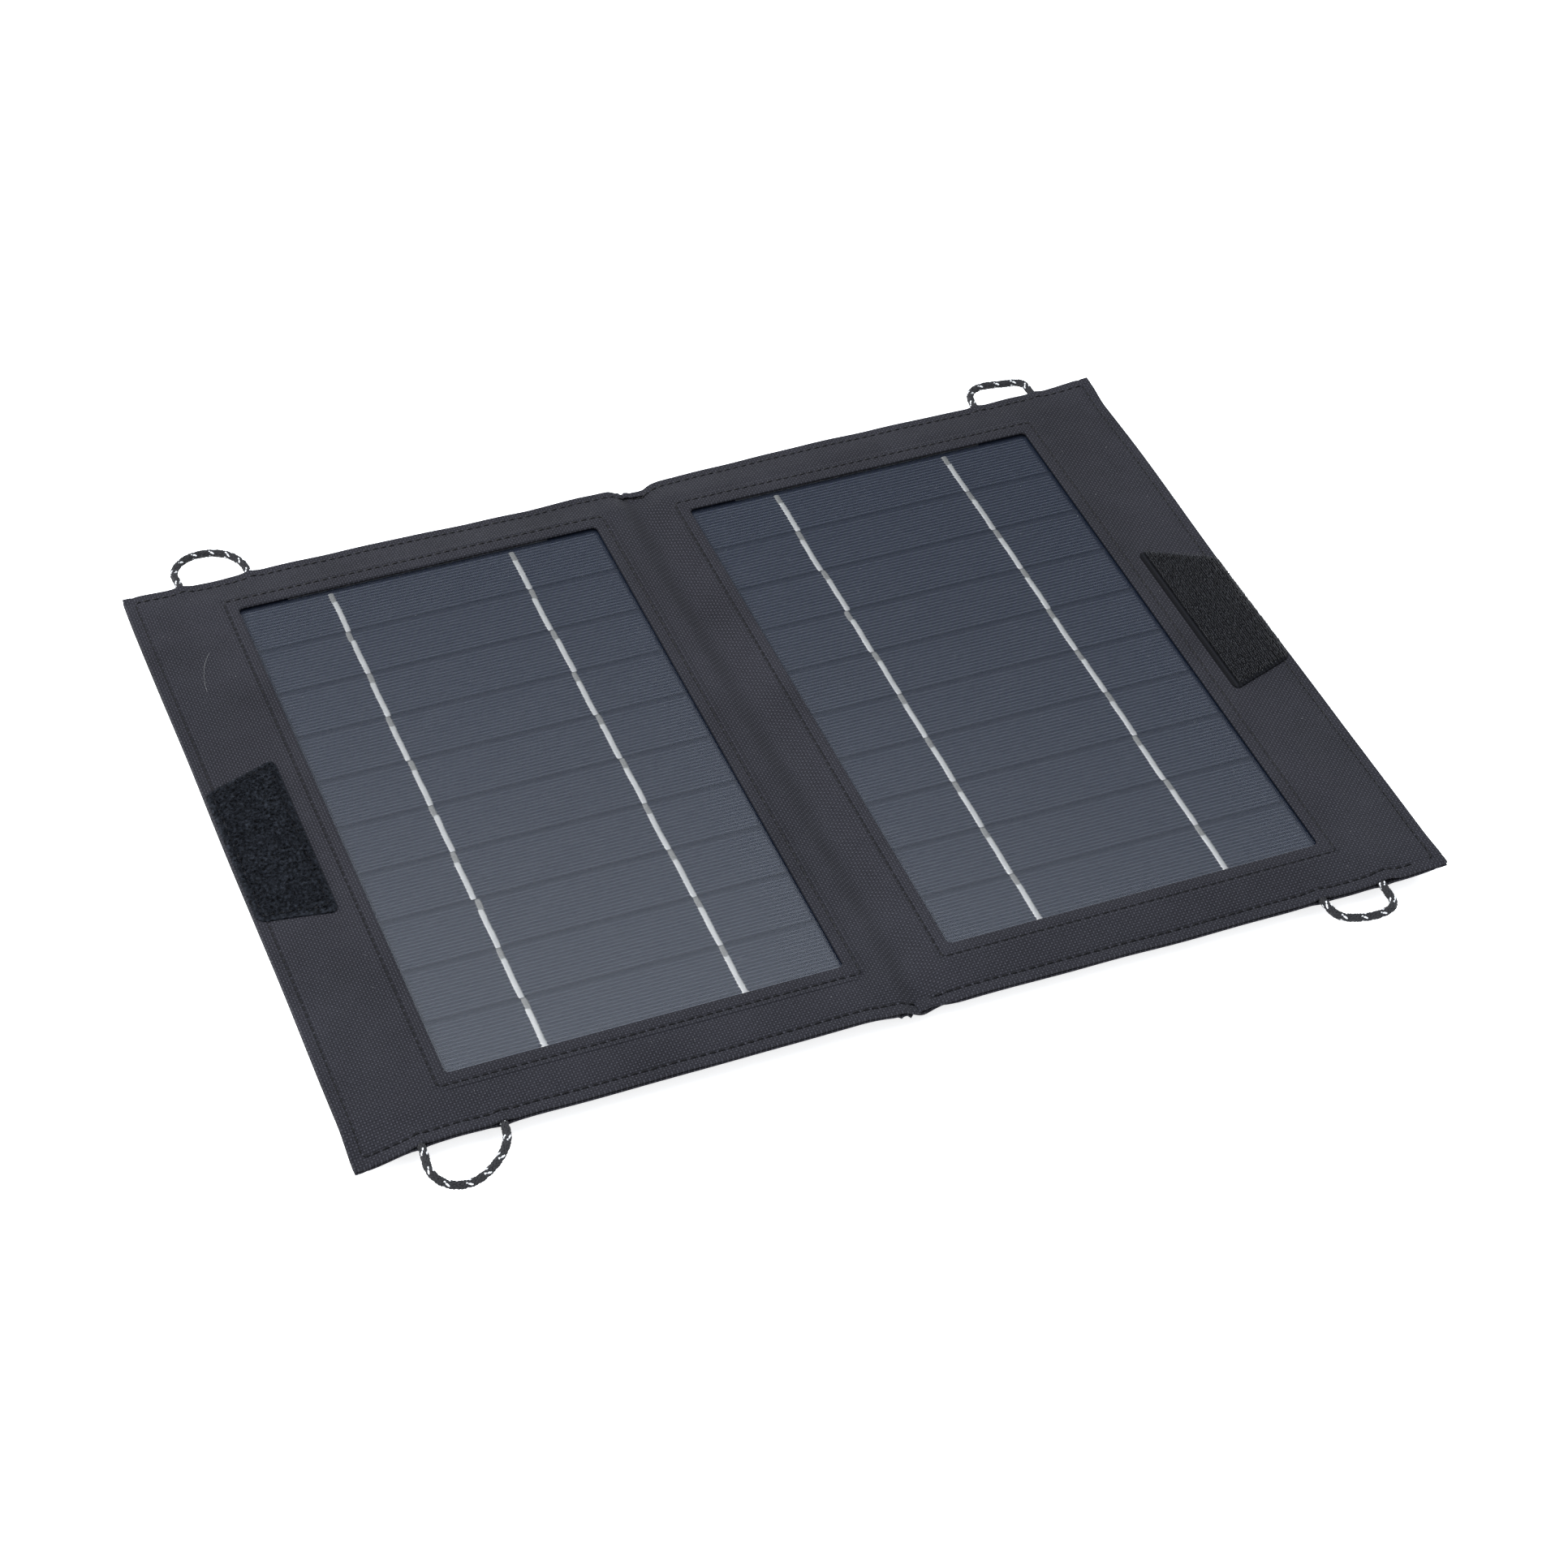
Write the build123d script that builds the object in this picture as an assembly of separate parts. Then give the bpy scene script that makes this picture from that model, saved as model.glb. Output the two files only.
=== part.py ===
from build123d import *
import math
import os

# Folding camping solar panel: two fabric-covered laminates joined by a fabric fold.
# Millimetres. X runs along the long side, Y from the near edge to the far edge, Z up.
# The origin is on the ground, below the middle of the fold line.

# --- driving dimensions -------------------------------------------------------------
HALF_X = 174.0  # fold line to a side edge
HALF_Y = 131.7  # middle to the near or the far edge
FOLD_GAP = 0.15  # each half starts this far from the fold line
FABRIC = 0.6  # one layer of coated woven cloth
HEM = 5.0  # width of the doubled cloth at the edge and round the window

CELL = (125.0, 20.83, 0.2)  # one cut cell strip
CELL_COUNT = 10
CELL_PITCH = 22.3
WINDOW = (125.0, 223.7)
WINDOW_X = 78.38  # fold line to the window's middle
WINDOW_SHIFT = 1.06  # the left window sits this far towards the far edge, the right one nearer
LAMINATE = (136.0, 235.0)
RIBBON_X = 31.25  # window's middle to a ribbon: a quarter of the cell
RIBBON = (1.7, 21.5, 0.15)

# heights of the layers above the ground
Z_BACK = 6.9  # the back cover's flat outside
Z_BACK_RIM = 7.4
Z_BOARD = 7.5
Z_SEAM = 8.5  # where the front and back covers meet
Z_BACKSHEET = 8.7
Z_CELL = 9.7
Z_RIM = 9.6  # the front cover's outside at its edge
Z_FILM = 10.45
Z_FILM_TOP = 10.7
Z_PLATEAU = 11.3  # the front cover's outside over the laminate
Z_WINDOW_HEM = 11.8

# rectangles are (x0, x1, y0, y1), drawn for the right half
FULL = (FOLD_GAP, HALF_X, -HALF_Y, HALF_Y)
PLATEAU = (10.0, 146.6, -119.0, 119.0)

# hook and loop patches: x of the inner and outer edge, then y along each of them
PATCH_THICK = 1.2
LOOP_PATCH = (150.0, 173.9, (-35.5, 37.0), (-29.5, 30.5))
HOOK_PATCH = (149.0, 173.4, (-38.3, 36.3), (-28.0, 26.5))

# accessory cord loops: points as (x, distance out from the edge, height above the seam)
CORD_DIAMETER = 2.5
CORD_CLEARANCE = 0.05
CORD_IN_SEAM = 4.0
FAR_LEFT = [
    (-154.7, -4.0, 0.0), (-154.7, 3.5, 0.0), (-155.2, 10.6, -0.6), (-149.9, 17.0, -1.2),
    (-142.3, 18.4, -1.5), (-135.2, 14.9, -1.2), (-132.0, 8.4, -0.5), (-131.4, 3.5, 0.0),
    (-131.4, -4.0, 0.0),
]
FAR_RIGHT = [
    (131.4, -4.0, 0.0), (131.4, 3.2, 0.0), (133.4, 10.6, -0.7), (138.6, 13.4, -1.0),
    (146.2, 12.0, -1.0), (153.9, 10.4, -0.8), (153.7, 3.2, 0.0), (153.7, -4.0, 0.0),
]
NEAR_LEFT = [
    (-154.6, -4.0, 0.0), (-154.6, 3.5, 0.0), (-155.6, 9.6, -1.4), (-151.6, 15.0, -3.2),
    (-144.0, 16.2, -3.9), (-136.6, 12.6, -3.0), (-131.6, 8.0, -1.3), (-129.8, 3.5, 0.0),
    (-129.8, -4.0, 0.0),
]
NEAR_RIGHT = [
    (131.9, -4.0, 0.0), (131.9, 3.2, 0.0), (134.0, 7.9, -1.4), (140.6, 9.8, -2.3),
    (147.4, 10.4, -2.5), (153.2, 9.0, -1.8), (152.3, 3.2, 0.0), (152.3, -4.0, 0.0),
]
CORDS = {
    "left_far_cord_loop": (FAR_LEFT, 1), "left_near_cord_loop": (NEAR_LEFT, -1),
    "right_far_cord_loop": (FAR_RIGHT, 1), "right_near_cord_loop": (NEAR_RIGHT, -1),
}

# twin lead that joins the two laminates across the fold
LEAD_WIDTH = 6.0
LEAD_THICK = 0.65
LEAD_Y = -95.0
LEAD_Z = 8.05

# regulator box on the right half's back
BOX = (62.0, 42.0)
BOX_X = 100.0
BOX_Y = -20.0
BOX_WALL = 1.5
Z_LID = 0.7
Z_BOX = 1.9  # where lid and base meet
BOX_ROOF = 1.2
POST = (26.5, 16.5, 2.4)  # corner posts: x and y from the middle, radius
BOARD = (56.0, 27.6, 1.0)
Z_CIRCUIT = 4.6
USB_X = -12.0  # from the box's middle
USB = (13.1, 14.0, 5.4)
USB_WALL = 0.4

# zipped pocket over the regulator box
POCKET_DEEP = (12.5, 143.5, -88.0, 26.0)
POCKET_SHALLOW = (12.5, 143.5, -88.0, 64.0)
POCKET_LEAN = 2.0  # how far the walls lean in
POCKET_FLANGE = (10.3, 146.3, -92.0, 68.0)
Z_STEP = 4.6  # height of the shallow part, where the zip is
ZIP_Y = 45.0
ZIP_ENDS = (26.0, 134.0)
ZIP_SLOT = 8.0
TAPE = (12.0, FABRIC)
COIL = (1.4, 1.1)
COIL_GAP = 1.6
SLIDER_X = 126.0
SLIDER_LENGTH = 10.0
SLIDER_WIDTH = 8.0
PULL_LENGTH = 17.0
PULL_THICK = 0.6
PULL_Z = 1.45


# --- helpers --------------------------------------------------------------------------
def slab(rect, z0, z1):
    """A box over the rectangle (x0, x1, y0, y1) from height z0 to z1."""
    x0, x1, y0, y1 = rect
    middle = Pos((x0 + x1) / 2, (y0 + y1) / 2, (z0 + z1) / 2)
    return middle * Box(x1 - x0, y1 - y0, z1 - z0)


def around(x, y, width, depth):
    """The rectangle of that width and depth about a point."""
    return (x - width / 2, x + width / 2, y - depth / 2, y + depth / 2)


def inset(rect, by):
    """The rectangle made smaller by that much on every side."""
    x0, x1, y0, y1 = rect
    return (x0 + by, x1 - by, y0 + by, y1 - by)


def frustum(base, top, z_base, z_top):
    """A flat-faced frustum from the rectangle base, up or down to the smaller rectangle top."""
    rising = z_top > z_base
    start = base[3] if rising else base[2]
    plane = Plane(
        origin=(base[0], start, z_base), x_dir=(1, 0, 0), z_dir=(0, -1 if rising else 1, 0)
    )
    ends = sorted(abs(start - y) for y in top[2:])
    return Solid.make_wedge(
        base[1] - base[0], abs(z_top - z_base), base[3] - base[2],
        top[0] - base[0], ends[0], top[1] - base[0], ends[1], plane,
    )


def rod(x, y, z0, z1, radius):
    """An upright cylinder."""
    return Pos(x, y, (z0 + z1) / 2) * Cylinder(radius, z1 - z0)


def rod_along_y(x, y0, y1, z, radius, end_radius=None):
    """A cylinder, or a cone, from y0 to y1."""
    plane = Plane(origin=(x, y0, z), x_dir=(1, 0, 0), z_dir=(0, math.copysign(1, y1 - y0), 0))
    if end_radius is None:
        return Solid.make_cylinder(radius, abs(y1 - y0), plane)
    return Solid.make_cone(radius, end_radius, abs(y1 - y0), plane)


def write(name, shape):
    export_step(shape, f"parts/{name}.step")


def place(side, shape):
    """Everything is drawn for the right half; the left half is its mirror image."""
    return shape if side == "right" else mirror(shape, about=Plane.YZ)


# --- covers ---------------------------------------------------------------------------
def cord_legs(side):
    """(x, edge) of each cord leg that enters this half's seam, drawn for the right half."""
    legs = []
    for name, (points, edge) in CORDS.items():
        if name.startswith(side):
            legs += [(abs(points[0][0]), edge), (abs(points[-1][0]), edge)]
    return legs


def with_cord_channels(side, cover, keep):
    """Adds the pucker over each cord leg and cuts the leg's channel."""
    outer, inner = CORD_DIAMETER / 2 + FABRIC, CORD_DIAMETER / 2 + FABRIC / 2
    for x, edge in cord_legs(side):
        pucker = rod_along_y(x, edge * HALF_Y, edge * (HALF_Y - HEM), Z_SEAM, outer, inner)
        cover += pucker & keep
    for x, edge in cord_legs(side):
        start, end = edge * (HALF_Y - CORD_IN_SEAM), edge * (HALF_Y + 2)
        cover -= rod_along_y(x, start, end, Z_SEAM, CORD_DIAMETER / 2 + CORD_CLEARANCE)
    return cover


def cavity_limits():
    """The hollow between the covers ends at the hem on three sides and is open at the fold."""
    return (FULL[0], FULL[1] - HEM, FULL[2] + HEM, FULL[3] - HEM)


def front_cover(side, window_y):
    body = slab(FULL, Z_SEAM, Z_RIM) + frustum(FULL, PLATEAU, Z_RIM, Z_PLATEAU)
    window = around(WINDOW_X, window_y, *WINDOW)
    body += slab(inset(window, -HEM), Z_PLATEAU - FABRIC / 2, Z_WINDOW_HEM)
    hollow = slab(FULL, Z_SEAM - 1, Z_RIM - FABRIC)
    hollow += frustum(FULL, PLATEAU, Z_RIM - FABRIC, Z_PLATEAU - FABRIC)
    body -= hollow & slab(cavity_limits(), Z_SEAM - 1, Z_PLATEAU)
    body -= slab(window, Z_SEAM, Z_WINDOW_HEM + 1)
    return with_cord_channels(side, body, slab(FULL, Z_SEAM, Z_SEAM + 5))


def back_cover(side):
    body = slab(FULL, Z_BACK_RIM, Z_SEAM) + frustum(FULL, PLATEAU, Z_BACK_RIM, Z_BACK)
    hollow = slab(FULL, Z_BACK_RIM + FABRIC, Z_SEAM + 1)
    hollow += frustum(FULL, PLATEAU, Z_BACK_RIM + FABRIC, Z_BACK + FABRIC)
    body -= hollow & slab(cavity_limits(), Z_BACK, Z_SEAM + 1)
    if side == "right":
        body -= slab(around(BOX_X, BOX_Y, BOX[0] + 0.6, BOX[1] + 0.6), Z_BACK - 1, Z_SEAM)
    return with_cord_channels(side, body, slab(FULL, Z_SEAM - 5, Z_SEAM))


# --- laminate -------------------------------------------------------------------------
def cell_places(window_y):
    """The y of each cell strip's middle, from the near edge to the far edge."""
    return [window_y + (i - (CELL_COUNT - 1) / 2) * CELL_PITCH for i in range(CELL_COUNT)]


def cells(window_y):
    top = Z_CELL + CELL[2]
    return [slab(around(WINDOW_X, y, CELL[0], CELL[1]), Z_CELL, top) for y in cell_places(window_y)]


def ribbons(window_y):
    bottom = Z_CELL + CELL[2]
    return [
        slab(around(WINDOW_X + x, y, RIBBON[0], RIBBON[1]), bottom, bottom + RIBBON[2])
        for y in cell_places(window_y)
        for x in (-RIBBON_X, RIBBON_X)
    ]


def end_busbars(window_y):
    """The copper strips that collect the ribbons at both ends, under the window's hem."""
    bottom = Z_CELL + CELL[2]
    middle = CELL_COUNT * CELL_PITCH / 2 + 2.6
    return [
        slab(around(WINDOW_X, window_y + end * middle, 90, 4), bottom, bottom + RIBBON[2])
        for end in (-1, 1)
    ]


def encapsulant(window_y):
    body = slab(around(WINDOW_X, window_y, *LAMINATE), Z_CELL, Z_FILM)
    for piece in cells(window_y) + ribbons(window_y) + end_busbars(window_y):
        body -= piece
    return body


def layer(window_y, z0, z1):
    return slab(around(WINDOW_X, window_y, *LAMINATE), z0, z1)


def backing_board(side, window_y):
    body = layer(window_y, Z_BOARD, Z_BACKSHEET)
    if side == "right":
        body -= slab(around(BOX_X, BOX_Y, BOX[0] + 1, BOX[1] + 1), Z_BOARD - 1, Z_BACKSHEET + 1)
    far_end = 50.0 if side == "left" else BOX_X - BOX[0] / 2
    notch = (PLATEAU[0] - 1, far_end, LEAD_Y - LEAD_WIDTH / 2 - 1, LEAD_Y + LEAD_WIDTH / 2 + 1)
    body -= slab(notch, Z_BOARD - 1, Z_BACKSHEET + 1)
    if side == "right":
        turn = (far_end - LEAD_WIDTH - 2, far_end, LEAD_Y, BOX_Y)
        body -= slab(turn, Z_BOARD - 1, Z_BACKSHEET + 1)
    return body


def lead(side):
    """The flat twin lead: straight on the left, and with a square turn up to the box on the right."""
    top = LEAD_Z + LEAD_THICK
    y0, y1 = LEAD_Y - LEAD_WIDTH / 2, LEAD_Y + LEAD_WIDTH / 2
    if side == "left":
        return slab((FOLD_GAP, 49.0, y0, y1), LEAD_Z, top)
    wall = BOX_X - BOX[0] / 2
    strip = slab((FOLD_GAP, wall - 1, y0, y1), LEAD_Z, top)
    strip += slab((wall - 1 - LEAD_WIDTH, wall - 1, y0, BOX_Y - 8), LEAD_Z, top)
    return strip + slab((wall - 1 - LEAD_WIDTH, wall + BOX_WALL, BOX_Y - 14, BOX_Y - 8), LEAD_Z, top)


# --- hook and loop ----------------------------------------------------------------------
def patch(shape):
    """A trapezoid of tape on the cover's sloping side margin."""
    inner, outer, inner_y, outer_y = shape
    slope = Plane(
        origin=(PLATEAU[1], 0, Z_PLATEAU),
        x_dir=(FULL[1] - PLATEAU[1], 0, Z_RIM - Z_PLATEAU),
        z_dir=(Z_PLATEAU - Z_RIM, 0, FULL[1] - PLATEAU[1]),
    )
    a, b = inner - PLATEAU[1], outer - PLATEAU[1]
    outline = Polyline(
        (a, inner_y[0]), (b, outer_y[0]), (b, outer_y[1]), (a, inner_y[1]), close=True
    )
    return extrude(slope * make_face(outline), PATCH_THICK)


# --- cords --------------------------------------------------------------------------------
def cord_loop(name, points, edge):
    """A loop of cord, as straight runs joined by tangent arcs."""
    route = [Vector(x, edge * (HALF_Y + out), Z_SEAM + up) for x, out, up in points]
    radii = []
    for a, b, c in zip(route, route[1:], route[2:]):
        half_turn = math.radians((b - a).get_angle(c - b)) / 2
        radii.append(0.45 * min((b - a).length, (c - b).length) / math.tan(half_turn))
    path = FilletPolyline(*route, radius=radii)
    section = Plane(origin=route[0], z_dir=route[1] - route[0]) * Circle(CORD_DIAMETER / 2)
    tube = sweep(section, path=path)
    expected = math.pi * CORD_DIAMETER ** 2 / 4 * path.length
    print(name, "length", round(path.length, 1), "radii", [round(r, 1) for r in radii])
    print("  volume", round(tube.volume, 1), "section x length", round(expected, 1))
    return tube


# --- regulator box ------------------------------------------------------------------------
def post_places():
    return [(BOX_X + i * POST[0], BOX_Y + j * POST[1]) for i in (-1, 1) for j in (-1, 1)]


def usb_rect(grow=0.0):
    mouth = BOX_Y + BOX[1] / 2
    x = BOX_X + USB_X
    return (x - USB[0] / 2 - grow, x + USB[0] / 2 + grow, mouth - USB[1] - grow, mouth)


def usb_heights():
    middle = (Z_BOX + Z_BACKSHEET - BOX_ROOF) / 2
    return middle - USB[2] / 2, middle + USB[2] / 2


LENS_X = BOX_X + 12.0
LENS_Z = Z_CIRCUIT - 1.2
LENS_R = 1.2


def box_base():
    outside = around(BOX_X, BOX_Y, *BOX)
    roof = Z_BACKSHEET - BOX_ROOF
    body = slab(outside, Z_BOX, Z_BACKSHEET) - slab(inset(outside, BOX_WALL), Z_BOX - 1, roof)
    for x, y in post_places():
        body += rod(x, y, Z_BOX + 1, roof, POST[2])
        body -= rod(x, y, Z_BOX, roof - 0.5, 0.9)
    for x in (-25.0, 25.0):
        rib = around(BOX_X + x, BOX_Y, 1.5, BOARD[1])
        body += slab(rib, Z_CIRCUIT + BOARD[2], roof)
    x0, x1, y0, y1 = usb_rect(0.1)
    body -= slab((x0, x1, y0, y1 + 1), Z_BOX - 1, usb_heights()[1] + 0.05)
    mouth = BOX_Y + BOX[1] / 2
    body -= rod_along_y(LENS_X, mouth - BOX_WALL - 1, mouth + 1, LENS_Z, LENS_R + 0.05)
    wall = BOX_X - BOX[0] / 2
    slot = (wall - 1, wall + BOX_WALL, BOX_Y - 14, BOX_Y - 8)
    return body - slab(slot, LEAD_Z, LEAD_Z + LEAD_THICK)


def box_lid():
    body = slab(around(BOX_X, BOX_Y, *BOX), Z_LID, Z_BOX)
    body = fillet(body.edges().filter_by(Axis.Z), 2.0)
    for x, y in post_places():
        body -= rod(x, y, Z_LID - 1, Z_BOX + 1, 1.1)
        body -= rod(x, y, Z_LID - 1, Z_LID + 0.7, 2.1)
    return body


def box_screws():
    return [
        rod(x, y, Z_LID, Z_LID + 0.7, 2.0) + rod(x, y, Z_LID, 6.0, 0.9)
        for x, y in post_places()
    ]


def circuit_board():
    body = slab(around(BOX_X, BOX_Y, BOARD[0], BOARD[1]), Z_CIRCUIT, Z_CIRCUIT + BOARD[2])
    return body - slab(usb_rect(0.3), Z_CIRCUIT - 1, Z_CIRCUIT + 3)


def usb_shell():
    low, high = usb_heights()
    x0, x1, y0, y1 = usb_rect()
    inside = (x0 + USB_WALL, x1 - USB_WALL, y0 + USB_WALL, y1 + 1)
    return slab((x0, x1, y0, y1), low, high) - slab(inside, low + USB_WALL, high - USB_WALL)


def usb_tongue():
    low, high = usb_heights()
    x0, x1, y0, y1 = usb_rect()
    block = slab((x0 + USB_WALL, x1 - USB_WALL, y0 + USB_WALL, y0 + 3), low + USB_WALL, high - USB_WALL)
    return block + slab((x0 + 1.0, x1 - 1.0, y0 + 2, y1 - 1.5), high - 2.6, high - 0.9)


def inductor():
    body = slab(around(BOX_X + 12, BOX_Y - 4, 10, 10), Z_CIRCUIT - 2.4, Z_CIRCUIT)
    return chamfer(body.edges().filter_by(Axis.Z), 1.5)


def capacitor():
    return rod(BOX_X - 20, BOX_Y - 7, Z_CIRCUIT - 2.4, Z_CIRCUIT, 3.0)


def regulator_chip():
    return slab(around(BOX_X - 4, BOX_Y - 7, 5, 6), Z_CIRCUIT - 1.1, Z_CIRCUIT)


def status_lens():
    mouth = BOX_Y + BOX[1] / 2
    return rod_along_y(LENS_X, mouth - 5, mouth + 0.4, LENS_Z, LENS_R)


# --- pocket and zip -------------------------------------------------------------------------
def pocket_panel():
    def shell_solid(by):
        solid = None
        for rect, z in ((POCKET_DEEP, 0.0), (POCKET_SHALLOW, Z_STEP)):
            base = inset(rect, by)
            part = frustum(base, inset(base, POCKET_LEAN), Z_BACK, z + by)
            solid = part if solid is None else solid + part
        return solid

    body = shell_solid(0.0) + slab(POCKET_FLANGE, Z_BACK - FABRIC, Z_BACK)
    body -= shell_solid(FABRIC)
    slot = (ZIP_ENDS[0], ZIP_ENDS[1], ZIP_Y - ZIP_SLOT / 2, ZIP_Y + ZIP_SLOT / 2)
    return body - slab(slot, Z_STEP - 1, Z_STEP + FABRIC + 0.1)


def zip_strip(near, far, z0, z1, trim=0.0):
    """Two mirrored bars along the zip, from near to far away from its middle line."""
    x0, x1 = ZIP_ENDS[0] - 4 + trim, ZIP_ENDS[1] + 4 - trim
    return [
        slab((x0, x1, *sorted((ZIP_Y + side * near, ZIP_Y + side * far))), z0, z1)
        for side in (-1, 1)
    ]


def zip_tapes():
    return zip_strip(COIL_GAP / 2, COIL_GAP / 2 + TAPE[0], Z_STEP - TAPE[1], Z_STEP)


def zip_coils():
    top = Z_STEP - TAPE[1]
    return zip_strip(COIL_GAP / 2, COIL_GAP / 2 + COIL[0], top - COIL[1], top, 4.5)


def zip_stops():
    """Two stops past the slider's closed end and two at the other end, gripping the tapes."""
    top = Z_STEP - TAPE[1]
    stops = []
    for x in (ZIP_ENDS[0] - 1.5, ZIP_ENDS[1] + 1.5):
        for side in (-1, 1):
            stops.append(slab(around(x, ZIP_Y + side * 1.5, 2.0, 1.4), top - 1.4, top))
    return stops


def zip_slider():
    """Two plates joined by a post between the coils, with a bail for the pull outside."""
    tape_top, coil_bottom = Z_STEP, Z_STEP - TAPE[1] - COIL[1]
    outer = coil_bottom - 0.35
    plate = around(SLIDER_X, ZIP_Y, SLIDER_LENGTH, SLIDER_WIDTH)
    body = slab(plate, outer - FABRIC, outer)
    body += slab(inset(plate, 0.5), tape_top + 0.3, tape_top + 0.9)
    body += slab(around(SLIDER_X, ZIP_Y, 3.0, 1.0), outer - 0.1, tape_top + 0.4)
    for side in (-1, 1):
        flange = around(SLIDER_X, ZIP_Y + side * (SLIDER_WIDTH / 2 - 0.5), SLIDER_LENGTH, 1.0)
        body += slab(flange, outer - 0.1, Z_STEP - TAPE[1] - 0.3)
    for side in (-1, 1):
        leg = around(SLIDER_X + side * 2.3, ZIP_Y, 0.6, 2.0)
        body += slab(leg, 0.3, outer - FABRIC + 0.1)
    return body + slab(around(SLIDER_X, ZIP_Y, 5.2, 2.0), 0.3, 0.95)


def zip_pull():
    """A flat tab with a cross bar through the slider's bail, lying along the closed zip."""
    z0, z1 = PULL_Z - PULL_THICK / 2, PULL_Z + PULL_THICK / 2
    body = slab((SLIDER_X - PULL_LENGTH, SLIDER_X - 3.5, ZIP_Y - 2.6, ZIP_Y + 2.6), z0, z1)
    body = fillet(body.edges().filter_by(Axis.Z), 1.2)
    for side in (-1, 1):
        rail = sorted((ZIP_Y + side * 1.4, ZIP_Y + side * 2.2))
        body += slab((SLIDER_X - 6, SLIDER_X, *rail), z0, z1)
    return body + rod_along_y(SLIDER_X, ZIP_Y - 2.2, ZIP_Y + 2.2, PULL_Z, 0.35)


# --- build ------------------------------------------------------------------------------------
os.makedirs("parts", exist_ok=True)

for side, window_y in (("left", WINDOW_SHIFT), ("right", -WINDOW_SHIFT)):
    pieces = {
        "front_cover": front_cover(side, window_y),
        "back_cover": back_cover(side),
        "front_film": layer(window_y, Z_FILM, Z_FILM_TOP),
        "encapsulant": encapsulant(window_y),
        "cells": Compound(cells(window_y)),
        "ribbons": Compound(ribbons(window_y)),
        "end_busbars": Compound(end_busbars(window_y)),
        "backsheet": layer(window_y, Z_BACKSHEET, Z_CELL),
        "backing_board": backing_board(side, window_y),
        "lead": lead(side),
    }
    for name, shape in pieces.items():
        write(f"{side}_{name}", place(side, shape))

write("loop_patch", place("left", patch(LOOP_PATCH)))
write("hook_patch", patch(HOOK_PATCH))

for name, (points, edge) in CORDS.items():
    write(name, cord_loop(name, points, edge))

write("box_base", box_base())
write("box_lid", box_lid())
write("box_screws", Compound(box_screws()))
write("circuit_board", circuit_board())
write("usb_shell", usb_shell())
write("usb_tongue", usb_tongue())
write("inductor", inductor())
write("capacitor", capacitor())
write("regulator_chip", regulator_chip())
write("status_lens", status_lens())

write("pocket_panel", pocket_panel())
write("zip_tapes", Compound(zip_tapes()))
write("zip_coils", Compound(zip_coils()))
write("zip_stops", Compound(zip_stops()))
write("zip_slider", zip_slider())
write("zip_pull", zip_pull())
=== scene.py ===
# %% [markdown]
# # A folding solar panel for camping
# Two stiff laminates of cut silicon cells sit behind windows in a black cloth cover. The cover folds like a
# book, and braided cord loops at the corners hang it on a rucksack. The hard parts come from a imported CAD
# frame; everything that is cloth, thread, pile or cord is made here, in metres, in the frame's own
# coordinates.
# %% Load the frame
import math

import bpy
import numpy as np
from mathutils import Matrix, Vector


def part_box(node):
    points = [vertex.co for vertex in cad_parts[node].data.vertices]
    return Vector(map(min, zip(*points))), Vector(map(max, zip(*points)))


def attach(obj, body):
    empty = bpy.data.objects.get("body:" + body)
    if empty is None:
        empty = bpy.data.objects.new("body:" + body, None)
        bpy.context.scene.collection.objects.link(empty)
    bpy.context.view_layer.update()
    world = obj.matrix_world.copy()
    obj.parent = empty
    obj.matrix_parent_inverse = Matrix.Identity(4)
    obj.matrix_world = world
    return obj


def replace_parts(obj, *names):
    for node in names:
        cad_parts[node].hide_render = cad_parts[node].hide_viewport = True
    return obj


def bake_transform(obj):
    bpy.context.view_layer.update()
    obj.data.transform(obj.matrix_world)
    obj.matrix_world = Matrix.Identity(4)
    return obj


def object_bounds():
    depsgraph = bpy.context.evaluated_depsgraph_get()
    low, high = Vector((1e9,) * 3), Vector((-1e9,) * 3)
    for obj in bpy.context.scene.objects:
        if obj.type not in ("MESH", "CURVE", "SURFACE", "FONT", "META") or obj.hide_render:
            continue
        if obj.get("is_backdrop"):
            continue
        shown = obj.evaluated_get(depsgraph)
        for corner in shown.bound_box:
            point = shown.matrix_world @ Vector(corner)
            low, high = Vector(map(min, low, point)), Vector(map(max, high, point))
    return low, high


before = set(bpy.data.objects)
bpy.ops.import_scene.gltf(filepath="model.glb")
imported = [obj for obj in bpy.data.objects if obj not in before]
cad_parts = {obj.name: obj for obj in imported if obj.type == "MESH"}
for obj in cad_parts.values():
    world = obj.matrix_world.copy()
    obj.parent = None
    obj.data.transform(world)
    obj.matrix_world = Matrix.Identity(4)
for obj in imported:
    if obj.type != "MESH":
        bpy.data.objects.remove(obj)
cad_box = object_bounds()
MM = 0.001

# %% [markdown]
# ## Measures
# The frame's nodes give every place: a window is as large as the opening over the film, and a seam lies
# where the two covers meet. The rest are the sizes a sewer works with, in millimetres.
# %% Read places from the frame


def span(node):
    """A node's lowest and highest corner, in millimetres."""
    low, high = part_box(node)
    return np.array(low) / MM, np.array(high) / MM


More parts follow.
